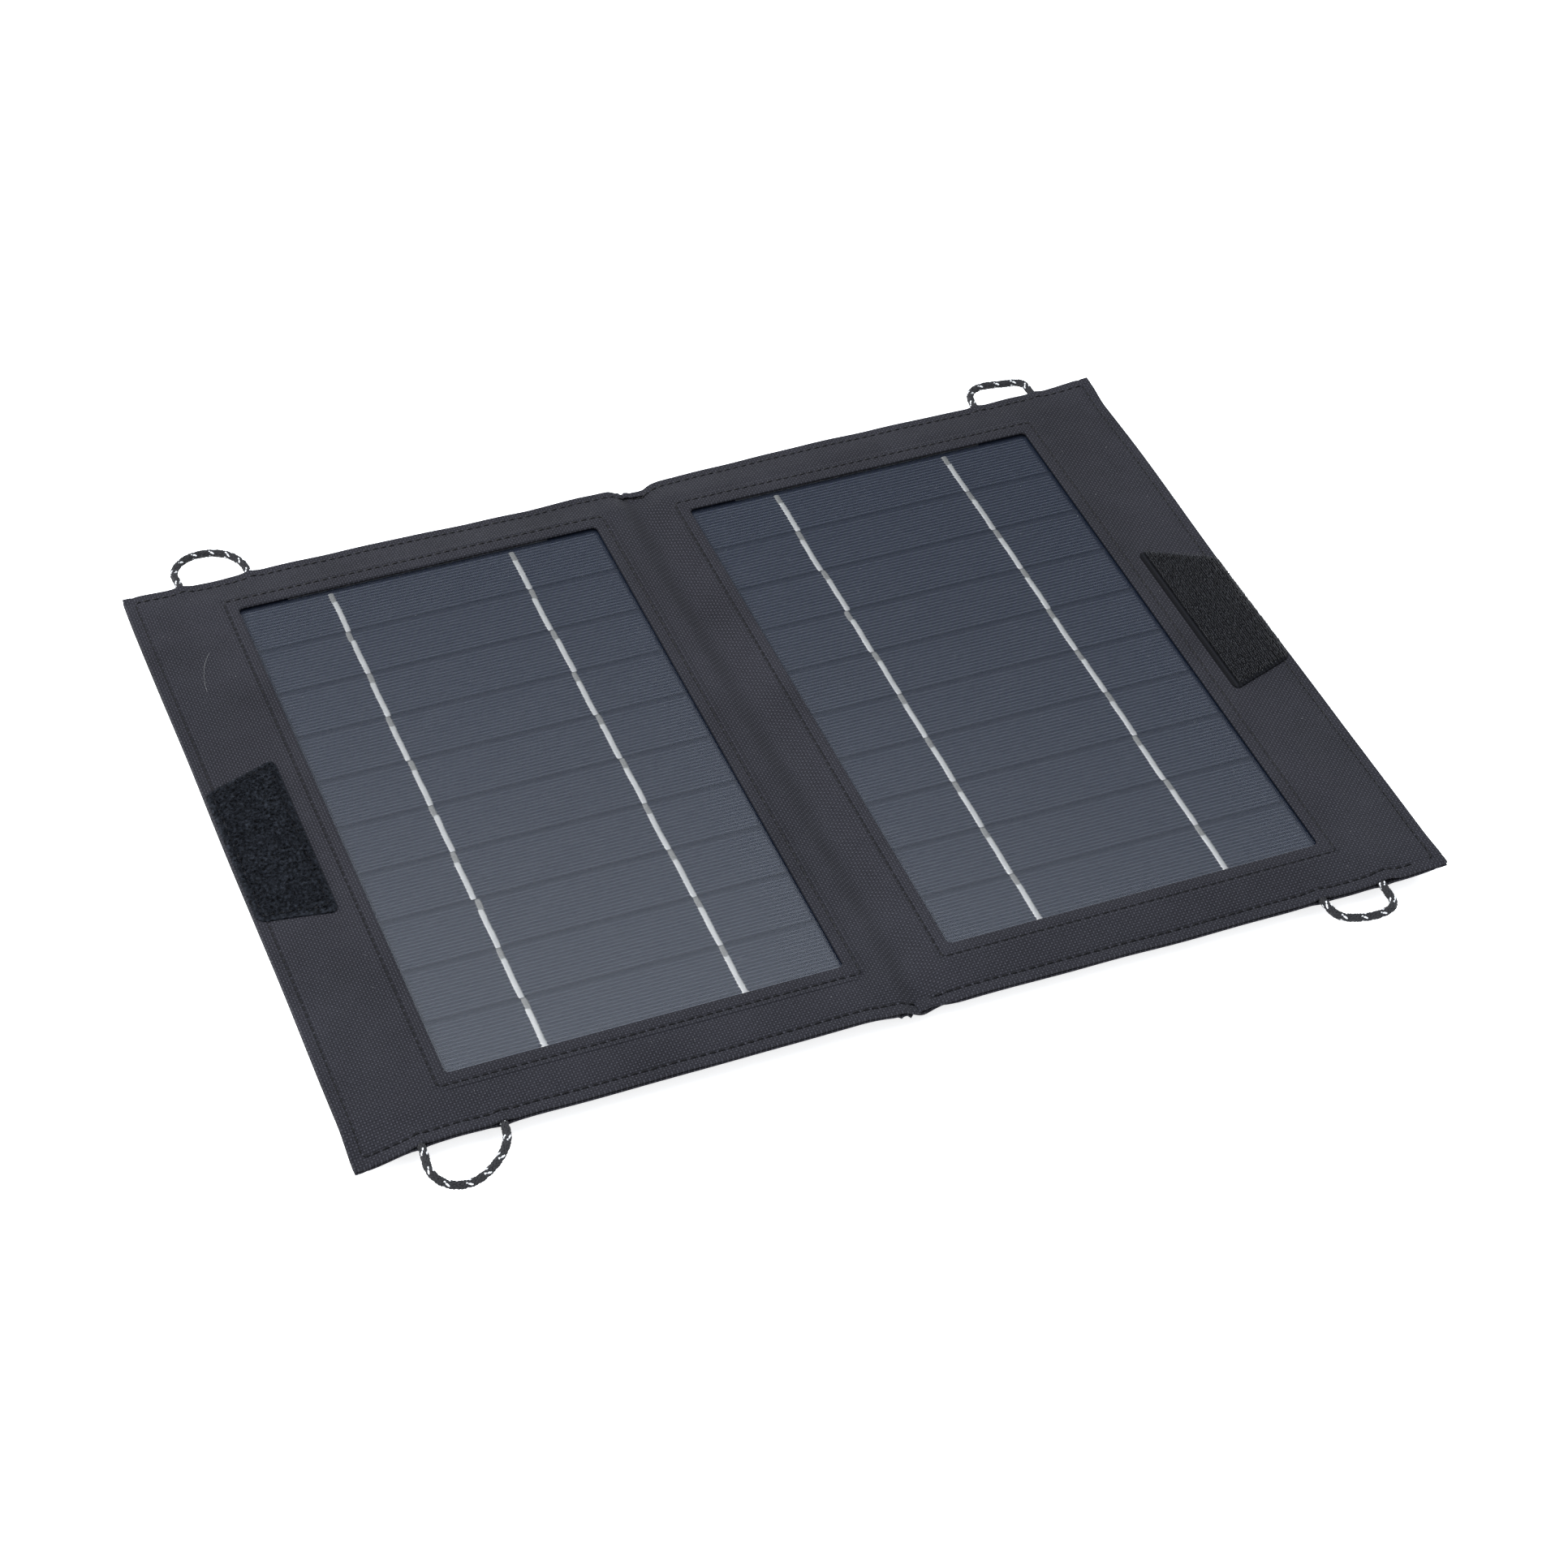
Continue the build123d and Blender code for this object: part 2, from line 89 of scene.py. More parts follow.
HALF_X = span("right_front_cover")[1][0]
HALF_Y = span("right_front_cover")[1][1]
Z_HEM = span("right_front_cover")[1][2]  # top of the doubled hem round a window
Z_SEAM = span("right_front_cover")[0][2]  # where the front and back covers meet
Z_BACK = span("right_back_cover")[0][2]
Z_FILM = span("right_front_film")[1][2]
Z_TOP = Z_HEM - 0.5  # the front cover over the laminate
Z_RIM = Z_SEAM + 1.1  # the front cover at the outer edge
WINDOW_EDGE = 5.5  # the laminate reaches this far under the cloth
WINDOWS = {}
for side in ("left", "right"):
    low, high = span(f"{side}_front_film")
    WINDOWS[side] = (
        low[0] + WINDOW_EDGE, high[0] - WINDOW_EDGE, low[1] + WINDOW_EDGE + 0.15, high[1] - WINDOW_EDGE - 0.15
    )
    print(side, "window", np.round(WINDOWS[side], 2))

# %% [markdown]
# ## Shader sums
# Blender's shader maths is built from nodes. Wiring them by hand hides the idea, so one small class lets a
# node's output stand in an ordinary Python expression: each operator adds the Math node that it means. The
# reflected forms (`__radd__` and so on) make `1 - mask` work too. Any other kind of node comes from one
# method, `node`.
# %% A socket that can be used in sums


class Wire:
    """A node's output, used like a number."""

    def __init__(self, finish, socket):
        self.finish, self.socket = finish, socket

    def math(self, operation, *others):
        values = dict(enumerate([self, *others]))
        return self.finish.node("Math", {"operation": operation}, values)

    def __add__(self, other):
        return self.math("ADD", other)

    def __sub__(self, other):
        return self.math("SUBTRACT", other)

    def __rsub__(self, other):
        return self.finish.node("Math", {"operation": "SUBTRACT"}, {0: other, 1: self})

    def __mul__(self, other):
        return self.math("MULTIPLY", other)

    __radd__ = __add__
    __rmul__ = __mul__


class Finish:
    """A material, with one method for every node that isn't a sum."""

    def __init__(self, name, **constants):
        self.material = bpy.data.materials.new(name)
        self.material.use_nodes = True
        self.tree = self.material.node_tree
        self.shader = self.tree.nodes["Principled BSDF"]
        self.set(**constants)

    def node(self, kind, settings=None, inputs=None, out=0):
        """Adds a node: its type, then its settings, then the values or links of its sockets."""
        made = self.tree.nodes.new("ShaderNode" + kind)
        for key, value in (settings or {}).items():
            setattr(made, key, value)
        for key, value in (inputs or {}).items():
            self.plug(made.inputs[key], value)
        return Wire(self, made.outputs[out])

    def plug(self, socket, value):
        if isinstance(value, Wire):
            self.tree.links.new(value.socket, socket)
        else:
            socket.default_value = value

    def set(self, **sockets):
        """Sets the shader's own sockets: base_color=..., roughness=..."""
        for key, value in sockets.items():
            name = " ".join(word.capitalize() for word in key.split("_")).replace("Ior", "IOR")
            self.plug(self.shader.inputs[name], (*value, 1.0) if isinstance(value, tuple) else value)
        return self

    def place(self):
        """The point on the object, in millimetres, as three wires."""
        point = self.node("TexCoord", out=3)
        parts = [self.node("SeparateXYZ", None, {0: point}, out=i) for i in range(3)]
        return [part * (1 / MM) for part in parts]

    def noise(self, per_mm, detail=2.0, stretch=(1, 1, 1)):
        """Soft random values from 0 to 1, per_mm waves to a millimetre."""
        point = self.node("TexCoord", out=3)
        scaled = self.node("Mapping", None, {"Vector": point, "Scale": tuple(s / MM for s in stretch)})
        return self.node("TexNoise", None, {"Vector": scaled, "Scale": per_mm, "Detail": detail})

    def blend(self, factor, low, high):
        """A colour between low and high."""
        mixed = {0: factor, 6: (*low, 1.0), 7: (*high, 1.0)}
        return self.node("Mix", {"data_type": "RGBA"}, mixed, out=2)

    def colour(self, factor, dark, light, **sockets):
        """Gives the surface a colour between two tones, and sets other sockets of the shader."""
        return self.set(base_color=self.blend(factor, dark, light), **sockets)

    def bump(self, height, depth_mm, strength=1.0):
        """Tilts the surface by a height from 0 to 1 that stands for depth_mm."""
        values = {"Height": height, "Distance": depth_mm * MM, "Strength": strength}
        return self.set(normal=self.node("Bump", None, values))


print("shader helpers ready")

# %% [markdown]
# ## Camera, light and floor
# The camera stands a good metre away with a long lens, so the panel's edges stay almost parallel. Its
# place, direction and lens aren't chosen freely: they were solved beforehand from where the corners of the
# windows and the ends of the ribbons are seen. They are given here as two angles, a distance and a little
# roll, which is easier to read than a matrix.
# %% Camera
AZIMUTH, ELEVATION, ROLL = math.radians(-22.105), math.radians(42.37), math.radians(1.117)
AIM = Vector((-3.5, -28.5, Z_FILM)) * MM
DISTANCE = 1214.7 * MM
view = Vector(
    (-math.sin(AZIMUTH) * math.cos(ELEVATION), math.cos(AZIMUTH) * math.cos(ELEVATION), -math.sin(ELEVATION))
)
camera = bpy.data.objects.new("camera", bpy.data.cameras.new("camera"))
camera.data.lens, camera.data.sensor_width = 89.19, 36.0
camera.data.clip_start, camera.data.clip_end = 0.05, 20
turned = view.to_track_quat("-Z", "Y").to_matrix() @ Matrix.Rotation(ROLL, 3, "Z")
camera.matrix_world = Matrix.Translation(AIM - view * DISTANCE) @ turned.to_4x4()
bpy.context.scene.collection.objects.link(camera)
bpy.context.scene.camera = camera
print("camera at", np.round(np.array(camera.matrix_world.translation) / MM, 1))

# %% [markdown]
# The light is a bright, even studio. A sky that is pale overhead and dark towards the horizon gives the
# glossy cells their gradient. One large soft box overhead shows the shape of the cloth, with a smaller one
# on the left and a weak one in front. Small hard lamps would show as spots in the film. The floor gives
# off light of its own, so that it stays white. The strengths were found by trying.
# %% Lights, world and floor


def soft_box(name, place, aim, size, watts):
    data = bpy.data.lights.new(name, "AREA")
    data.shape, data.size, data.size_y, data.energy = "RECTANGLE", size[0], size[1], watts
    lamp = bpy.data.objects.new(name, data)
    direction = Vector(aim) - Vector(place)
    lamp.matrix_world = Matrix.Translation(place) @ direction.to_track_quat("-Z", "Y").to_matrix().to_4x4()
    bpy.context.scene.collection.objects.link(lamp)


soft_box("overhead box", (-0.3, -0.1, 1.5), (0, 0, 0), (1.4, 1.0), 17)
soft_box("front box", (0.5, -1.6, 1.1), (0, 0, 0), (1.2, 0.8), 3)
soft_box("left box", (-1.25, 0.55, 0.75), (-0.05, -0.05, 0), (0.8, 0.5), 12)
world = bpy.data.worlds.new("studio")
world.use_nodes = True
tree = world.node_tree
way = tree.nodes.new("ShaderNodeTexCoord").outputs["Generated"]
slant = tree.nodes.new("ShaderNodeVectorMath")
slant.operation, slant.inputs[1].default_value = "DOT_PRODUCT", (-0.07, 0.0, 1.0)
ramp = tree.nodes.new("ShaderNodeValToRGB")
for element, (place, value) in zip(ramp.color_ramp.elements, ((0.62, 0.09), (0.705, 1.0))):
    element.position = place
    element.color = (value * 0.88, value * 0.935, value, 1.0)
tree.links.new(way, slant.inputs[0])
tree.links.new(slant.outputs["Value"], ramp.inputs["Fac"])
tree.links.new(ramp.outputs["Color"], tree.nodes["Background"].inputs["Color"])
tree.nodes["Background"].inputs["Strength"].default_value = 1.85
bpy.context.scene.world = world
bpy.context.scene.view_settings.view_transform = "Standard"

floor_mesh = bpy.data.meshes.new("floor")
FLOOR_REACH, FLOOR_DROP = 30.0, -0.5 * MM  # metres
corners = [(x * FLOOR_REACH, y * FLOOR_REACH, FLOOR_DROP) for x, y in ((-1, -1), (1, -1), (1, 1), (-1, 1))]
floor_mesh.from_pydata(corners, [], [(0, 1, 2, 3)])
floor = bpy.data.objects.new("floor", floor_mesh)
pale = Finish("pale floor", base_color=(0.85, 0.85, 0.85), roughness=0.9, emission_color=(1.0, 1.0, 1.0))
floor.data.materials.append(pale.set(emission_strength=0.75).material)
bpy.context.scene.collection.objects.link(floor)
floor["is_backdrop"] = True
print("studio ready")

# %% [markdown]
# ## Cloth finish
# The cover is coated oxford cloth. From close by it shows a plain weave: threads that go over and under
# each other, so the high places sit like the dark fields of a chessboard. The product of two sine waves
# makes just that board. It is made from x and y in millimetres, so the weave has its true scale on flat
# cloth with no image and no unwrapping. Where the cloth turns down or bends, the weave is drawn out. The
# high places are also coloured lighter than the low ones, a painted highlight on the tops of the threads.
# %% Woven cloth


def woven_cloth(name, dark, light, pitch, depth, sheen=0.03, roughness=0.78):
    finish = Finish(name, sheen_weight=sheen, sheen_roughness=0.5, specular_ior_level=0.1)
    x, y, _ = finish.place()
    across = (x * (math.pi / pitch)).math("SINE")
    along = (y * (math.pi / pitch)).math("SINE")
    board = across * along
    high = board.math("MAXIMUM", 0.0) + (board * -0.35).math("MAXIMUM", 0.0)
    fuzz = finish.noise(1.7, detail=3.0)
    cloudy = finish.noise(0.035, detail=3.0)
    # painted highlight: the high places of the weave are coloured lighter, where light would catch the thread
    # tops; fuzz and cloudy are the cloth's own random tone
    tone = high * 0.75 + fuzz * 0.35 + cloudy * 0.35 - 0.12
    finish.colour(tone.math("MINIMUM", 1.0), dark, light)
    finish.set(roughness=roughness - high * 0.12 + fuzz * 0.1)
    return finish.bump(high + fuzz * 0.35, depth)


cover_cloth = woven_cloth("black oxford cloth", (0.0006, 0.0006, 0.0014), (0.050, 0.050, 0.062), 0.86, 0.34)
print("cloth finishes:", cover_cloth.material.name)

# %% [markdown]
# ## The cloth covers
# A sewn cover could be simulated, but here the shape is known: flat over the stiff laminate, sloping down
# in the soft margins, with hems, stitch lines that pull the cloth down, and a valley at the fold. So the
# cover is a fine grid whose height is worked out from rules, each of which adds one thing that a sewer
# would name. The grid's lines are laid closer together where there is a hem or a stitch line, so those stay
# crisp.
# %% Grid lines and smooth steps
STITCH_OUT = 3.3  # window edge to the stitch line beside it, at the sides
STITCH_UP = 4.2  # the same at the near and far edges of the window
HEM_WIDE = 5.0
EDGE_STITCH = 3.0  # outer edge to its stitch line
STITCH = 3.0  # length of one stitch


def smooth(x):
    x = np.clip(x, 0.0, 1.0)
    return x * x * (3 - 2 * x)


def bell(x, width):
    return np.exp(-((x / width) ** 2))


def through(softness, *pairs):
    """A curve through a few given (place, value) pairs, rounded off by softness."""
    places, values = np.array(pairs, float).T

    def curve(x):
        x = np.asarray(x, float)
        total = np.zeros_like(x)
        for shift in np.linspace(-1, 1, 9):
            total = total + np.interp(x + shift * softness, places, values)
        return total / 9

    return curve


def lines(knots, step, fine=()):
    """Grid lines that pass through every knot, about step apart, with three lines at each fine place."""
    extra = [f + d for f in fine for d in (-0.9, -0.45, 0.0, 0.45, 0.9)]
    marks = sorted(set(np.round(list(knots) + extra, 3)))
    out = [marks[0]]
    for a, b in zip(marks, marks[1:]):
        count = max(1, round((b - a) / step))
        out += [a + (b - a) * (i + 1) / count for i in range(count)]
    return np.array(out)


def ripples(x, y, waves, seed):
    """Low, soft unevenness as a sum of a few slanting waves."""
    pick = np.random.default_rng(seed)
    total = np.zeros_like(x)
    for length in waves:
        angle, phase = pick.uniform(0, math.pi), pick.uniform(0, 2 * math.pi)
        total += np.sin((x * math.cos(angle) + y * math.sin(angle)) * 2 * math.pi / length + phase)
    return total / len(waves)


print("grid helpers ready")

# %% [markdown]
# The outline isn't quite straight: the near left corner droops, the near right one is turned up a little,
# and the long edges wave by a millimetre. Each pair below is a place along an edge and the lift there. The
# lifts of the near and far edge, and the depth of the fold, were worked out from an outline measured
# beforehand, then rounded and changed in places so that the cords meet the seam and nothing shows through
# the fold. The waves of the two short sides don't follow a measurement.
# %% Height of the cover
lift_near = through(
    3,
    (-174, -4.2), (-168, -3.4), (-161, -1.6), (-155, -0.2), (-143, 0.7), (-130, 0.1), (-120, 0.5),
    (-80, 0.6), (-40, 0.9), (-16, 1.3), (-4, -0.5), (4, -0.9), (16, -0.4), (40, -0.4), (80, -0.9),
    (120, -0.7), (132, -0.2), (142, -0.7), (152, -0.2), (162, -0.2), (174, 0.9),
)
lift_far = through(
    3,
    (-174, 0.5), (-160, -0.2), (-155, 0.0), (-143, -0.6), (-131, 0.0), (-100, 0.2), (-60, -0.4),
    (-35, -0.9), (-14, -0.1), (0, -0.4), (8, -0.8), (22, -0.5), (50, 0.2), (80, 0.6), (110, 0.3),
    (131, 0.2), (142, 0.5), (154, 0.3), (162, 1.0), (174, 2.2),
)
wave_left = through(15, (-132, 0), (-80, -0.4), (-20, 0.3), (50, -0.3), (110, 0.4), (132, 0))
wave_right = through(15, (-132, 0), (-90, 1.0), (-40, 0.2), (20, -0.2), (90, 0.7), (132, 0))
CORD_LEGS = {1: (-154.7, -131.4, 131.4, 153.7), -1: (-154.6, -129.8, 131.9, 152.3)}
fold_shape = through(
    1.1,
    (-24, 0.0), (-16, 0.0), (-11, -0.15), (-7.5, -0.1), (-5, -0.1), (-2.5, -1.5), (0.5, -3.2),
    (2.5, -3.4), (4.5, -2.9), (7.5, -1.3), (9.5, -0.4), (13, 0.0), (24, 0.0),
)
LEAD_Y = float(span("left_lead")[0][1]) + 3.0


def margin(x, y):
    """1 over the laminates, falling to 0 at the outer edge."""
    sides = smooth((HALF_X + 1.5 - np.abs(x)) / 29)
    ends = smooth((HALF_Y + 0.5 - np.abs(y)) / 14)
    return sides * ends


SOFT_FROM = 116.0  # beyond this y there is only cloth


def edge_lift(x, y):
    """How far the soft margins wave up or down."""
    near = smooth((-y - SOFT_FROM) / (HALF_Y - SOFT_FROM)) * lift_near(x)
    far = smooth((y - SOFT_FROM) / (HALF_Y - SOFT_FROM)) * lift_far(x)
    left = smooth((-x - 150) / 24) * wave_left(y)
    right = smooth((x - 146) / 28) * wave_right(y)
    return near + far + left + right


def cord_puckers(x, y):
    """1 where a cord's end is sewn between the covers, which bulge over it."""
    total = np.zeros_like(x)
    for end, places in CORD_LEGS.items():
        for place in places:
            total = total + bell(x - place, 2.1) * smooth((y * end - HALF_Y + 7) / 4)
    return total


def to_window(side, x, y):
    """Distance outwards from the window's edge in x and in y, negative inside."""
    x0, x1, y0, y1 = WINDOWS[side]
    return np.maximum(x0 - x, x - x1), np.maximum(y0 - y, y - y1)


def front_height(x, y):
    """The front cover's outer face."""
    over = margin(x, y)
    height = Z_RIM + (Z_TOP - Z_RIM) * over + edge_lift(x, y)
    height += fold_shape(x) * (1 - 0.3 * bell(y - LEAD_Y, 9))
    height += bell(x - 155, 2.2) * smooth((-55 - y) / 30) * 0.9
    height += ripples(x, y * 0.6, (23, 31, 44, 61), 3) * 0.22 * (1.15 - over)
    height += ripples(x * 1.5, y * 0.25, (9, 14, 19), 8) * 0.35 * bell(x, 8)
    for side in WINDOWS:
        dx, dy = to_window(side, x, y)
        away = np.hypot(np.maximum(dx, 0), np.maximum(dy * HEM_WIDE / 6, 0))
        height += (Z_HEM - Z_TOP) * smooth((HEM_WIDE + 0.4 - away) / 0.8)
        line_x = bell(dx - STITCH_OUT, 0.75) * (dy < STITCH_UP + 0.5)
        line_y = bell(dy - STITCH_UP, 0.75) * (dx < STITCH_OUT + 0.5)
        height -= 0.34 * np.maximum(line_x, line_y)
    inner = np.maximum(
        bell(HALF_X - np.abs(x) - EDGE_STITCH, 0.8), bell(HALF_Y - np.abs(y) - EDGE_STITCH, 0.8)
    )
    height -= 0.3 * inner
    pucker = np.sin(x * 2 * math.pi / STITCH) * bell(HALF_Y - np.abs(y) - EDGE_STITCH, 1.8)
    pucker += np.sin(y * 2 * math.pi / STITCH) * bell(HALF_X - np.abs(x) - EDGE_STITCH, 1.8)
    return height + pucker * 0.07 + cord_puckers(x, y) * 0.75


print("height over the left window's hem:", round(float(front_height(np.array(-144.0), np.array(0.0))), 2))

# %% [markdown]
# A cover is one grid over both halves, with the faces inside the windows left out. At every cut edge the
# cloth is turned under, so a few more rows roll over the edge and back in below it. Rolling the edge this
# way gives the soft, thick look of a hem, which a thin sheet with a sharp border never has.
# %% Build a cover from grid lines
EDGE_ROLL = [(0.30, -0.12), (0.55, -0.45), (0.55, -0.75), (0.25, -1.0), (-0.5, -1.1), (-2.5, -1.1)]
WINDOW_ROLL = [(0.28, -0.10), (0.5, -0.4), (0.5, -0.7), (0.25, -0.95), (-0.6, -1.02), (-2.5, -1.02)]


def make_mesh(name, points, faces, finish, smooth_shade=True):
    """A mesh object from points in millimetres."""
    mesh = bpy.data.meshes.new(name)
    mesh.from_pydata((np.array(points, float) * MM).tolist(), [], [tuple(map(int, f)) for f in faces])
    mesh.validate()
    if smooth_shade:
        mesh.shade_smooth()
        mesh.set_sharp_from_angle(angle=math.radians(55))
    piece = bpy.data.objects.new(name, mesh)
    piece.data.materials.append(finish.material)
    bpy.context.scene.collection.objects.link(piece)
    return piece


def roll_rows(points, faces, ring, outward, roll, up):
    """Adds rows beyond a closed ring: each goes out and down by a step of roll, or up where up is -1."""
    count = len(ring)
    base = np.array([points[i] for i in ring])
    last = list(ring)
    for out, down in roll:
        row = base + outward * out
        row[:, 2] = base[:, 2] + down * up
        new = list(range(len(points), len(points) + count))
        points.extend(row.tolist())
        for i in range(count):
            j = (i + 1) % count
            faces.append((last[i], last[j], new[j], new[i]))
        last = new
    return last


def outward_of(ring_points):
    """The level direction out of a closed ring that runs anticlockwise."""
    ahead = np.roll(ring_points, -1, axis=0) - np.roll(ring_points, 1, axis=0)
    out = np.stack([ahead[:, 1], -ahead[:, 0], np.zeros(len(ahead))], axis=1)
    return out / np.maximum(np.linalg.norm(out, axis=1, keepdims=True), 1e-9)


def grid_faces(index, turned=1):
    """The square faces between a grid's points; turned is -1 where they have to face the other way."""
    a, b, c, d = index[:-1, :-1], index[:-1, 1:], index[1:, 1:], index[1:, :-1]
    order = (a, b, c, d) if turned > 0 else (a, d, c, b)
    return np.stack(order, -1).reshape(-1, 4).tolist()


def ring_of(index, i0, i1, j0, j1):
    """Grid indices round a rectangle, anticlockwise seen from above."""
    near = [index[j0, i] for i in range(i0, i1)]
    right = [index[j, i1] for j in range(j0, j1)]
    far = [index[j1, i] for i in range(i1, i0, -1)]
    left = [index[j, i0] for j in range(j1, j0, -1)]
    return near + right + far + left


def rounded_corner(dx, dy, radius):
    """New distances from a corner, on an arc, for a point of the edge that is dx or dy away from it."""
    angle = math.pi / 4 * (1 - max(dx, dy) / radius)
    near, far = radius * (1 - math.cos(angle)), radius * (1 - math.sin(angle))
    return (far, near) if dx > dy else (near, far)


def cover(name, xs, ys, height, finish, holes=(), roll=EDGE_ROLL, outline=None, up=1, radius=2.2):
    """A cloth over the grid lines xs and ys, open at the holes. up is -1 where its face looks down."""
    X, Y = np.meshgrid(xs, ys)
    Z = height(X, Y)
    if outline is not None:
        X, Y = outline(X, Y)
    index = np.arange(X.size).reshape(X.shape)
    points = np.stack([X, Y, Z], axis=-1).reshape(-1, 3)
    keep = np.ones((len(ys) - 1, len(xs) - 1), bool)
    rings = []
    for x0, x1, y0, y1 in holes:
        i0, i1 = (int(np.argmin(np.abs(xs - v))) for v in (x0, x1))
        j0, j1 = (int(np.argmin(np.abs(ys - v))) for v in (y0, y1))
        keep[j0:j1, i0:i1] = False
        rings.append((ring_of(index, i0, i1, j0, j1), (x0, x1, y0, y1)))
    faces = [
        (index[j, i], index[j, i + 1], index[j + 1, i + 1], index[j + 1, i]) for j, i in np.argwhere(keep)
    ]
    for ring, (x0, x1, y0, y1) in rings:
        middle = np.array([(x0 + x1) / 2, (y0 + y1) / 2])
        for p in ring:
            x, y = points[p, :2]
            cx, cy = (x0 if x < middle[0] else x1), (y0 if y < middle[1] else y1)
            if abs(x - cx) < radius and abs(y - cy) < radius:
                in_x, in_y = rounded_corner(abs(x - cx), abs(y - cy), radius)
                points[p, :2] = cx + np.sign(middle[0] - cx) * in_x, cy + np.sign(middle[1] - cy) * in_y
    points = points.tolist()
    edge = ring_of(index, 0, len(xs) - 1, 0, len(ys) - 1)
    roll_rows(points, faces, edge, outward_of(np.array([points[i] for i in edge])), roll, up)
    for ring, _ in rings:
        ring = ring[::-1]
        roll_rows(points, faces, ring, outward_of(np.array([points[i] for i in ring])), WINDOW_ROLL, up)
    return make_mesh(name, points, [face[::up] for face in faces], finish)


def edge_outline(x, y):
    """The sewn outline: nearly square, with the right side flaring by two millimetres at the near corner."""
    flare = smooth((-y - 60) / 70) * smooth((x - 120) / 50) * 1.2
    notch = bell(x - 4, 5) * smooth((np.abs(y) - 118) / 12) * 1.4
    wave = ripples(y, x, (90, 140), 5) * 0.3 * smooth((np.abs(x) - 160) / 14)
    return x + flare * 0.5 + wave, y - np.sign(y) * notch


near_far = [-HALF_Y, HALF_Y]
side_knots = [-HALF_X, 0, HALF_X]
fine_x = [-HALF_X + EDGE_STITCH, HALF_X - EDGE_STITCH]
fine_y = [-HALF_Y + EDGE_STITCH, HALF_Y - EDGE_STITCH]
corner_steps = (0.5, 1.1, 1.7, 2.3)
for side, (x0, x1, y0, y1) in WINDOWS.items():
    side_knots += [x0, x1, x0 - HEM_WIDE, x1 + HEM_WIDE]
    side_knots += [x0 + s for s in corner_steps] + [x1 - s for s in corner_steps]
    near_far += [y0, y1, y0 - 6, y1 + 6] + [y0 + s for s in corner_steps] + [y1 - s for s in corner_steps]
    fine_x += [x0 - STITCH_OUT, x1 + STITCH_OUT]
    fine_y += [y0 - STITCH_UP, y1 + STITCH_UP]
legs = sorted(CORD_LEGS[1] + CORD_LEGS[-1])
xs = lines(side_knots + legs + list(np.arange(-12, 12.1, 0.75)), 1.7, fine_x)
ys = lines(near_far, 1.5, fine_y)
front = cover("front_cloth", xs, ys, front_height, cover_cloth, list(WINDOWS.values()), outline=edge_outline)
print("front cloth:", len(front.data.vertices), "points")

# %% [markdown]
# The front and back covers cross the fold in one piece of cloth each. Each keeps its flat shape here: its
# placement is baked into its points, and nothing makes it bend with the hinge.
# %% Front cover placed, back cover made
FLAT = (2 * HALF_X * MM, 2 * HALF_Y * MM)


def bend(piece):
    """The piece crosses the fold; its placement is baked into its points, and it doesn't bend."""
    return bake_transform(piece)


def area_without(*holes):
    """The area of a cover less its openings, in square metres."""
    return FLAT[0] * FLAT[1] - sum((x1 - x0) * (y1 - y0) for x0, x1, y0, y1 in holes) * MM * MM


def back_height(x, y):
    """The back cover's outer face, seen from below."""
    over = margin(x, y)
    pleats = np.sin((x + 0.08 * y) * 2.1) * bell(x + 3.5, 4.5) * smooth((np.abs(y) - 112) / 18)
    stitched = np.maximum(
        bell(HALF_X - np.abs(x) - EDGE_STITCH, 0.8), bell(HALF_Y - np.abs(y) - EDGE_STITCH, 0.8)
    )
    height = Z_BACK + 0.5 * (1 - over) + edge_lift(x, y)
    height += ripples(x, y * 0.7, (27, 38, 52), 12) * 0.2 * (1.1 - over)
    return height + stitched * 0.25 - 1.3 * np.maximum(pleats, 0) - cord_puckers(x, y) * 0.6


box_low, box_high = span("box_base")
box_hole = (box_low[0] - 0.4, box_high[0] + 0.4, box_low[1] - 0.4, box_high[1] + 0.4)
back_xs = lines([-HALF_X, -9, 9, HALF_X, *box_hole[:2], *legs] + list(np.arange(-9, 9, 0.6)), 2.6, fine_x[:2])
back_ys = lines([-HALF_Y, -112, 112, HALF_Y, *box_hole[2:]], 2.6, fine_y[:2])
back = cover(
    "back_cloth", back_xs, back_ys, back_height, cover_cloth, [box_hole], outline=edge_outline, up=-1,
    radius=0.5,
)
for piece, nodes, under, holes in (
    (front, "front_cover", "front_film", WINDOWS.values()), (back, "back_cover", "backing_board", [box_hole]),
):
    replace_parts(piece, f"left_{nodes}", f"right_{nodes}")
    bend(piece)
    area_without(*holes)
print("back cloth:", len(back.data.vertices), "points")

# %% [markdown]
# ## Thread
# A sewing machine's stitch is a short piece of thread that comes up through one hole and goes down through
# the next. Each one here is a tiny bent tube whose ends dip into the cloth, laid along the stitch line at
# the machine's pitch. The same tube maker also does the cords, the zip's coils and the pile of the patches.
# %% Tubes and stitches


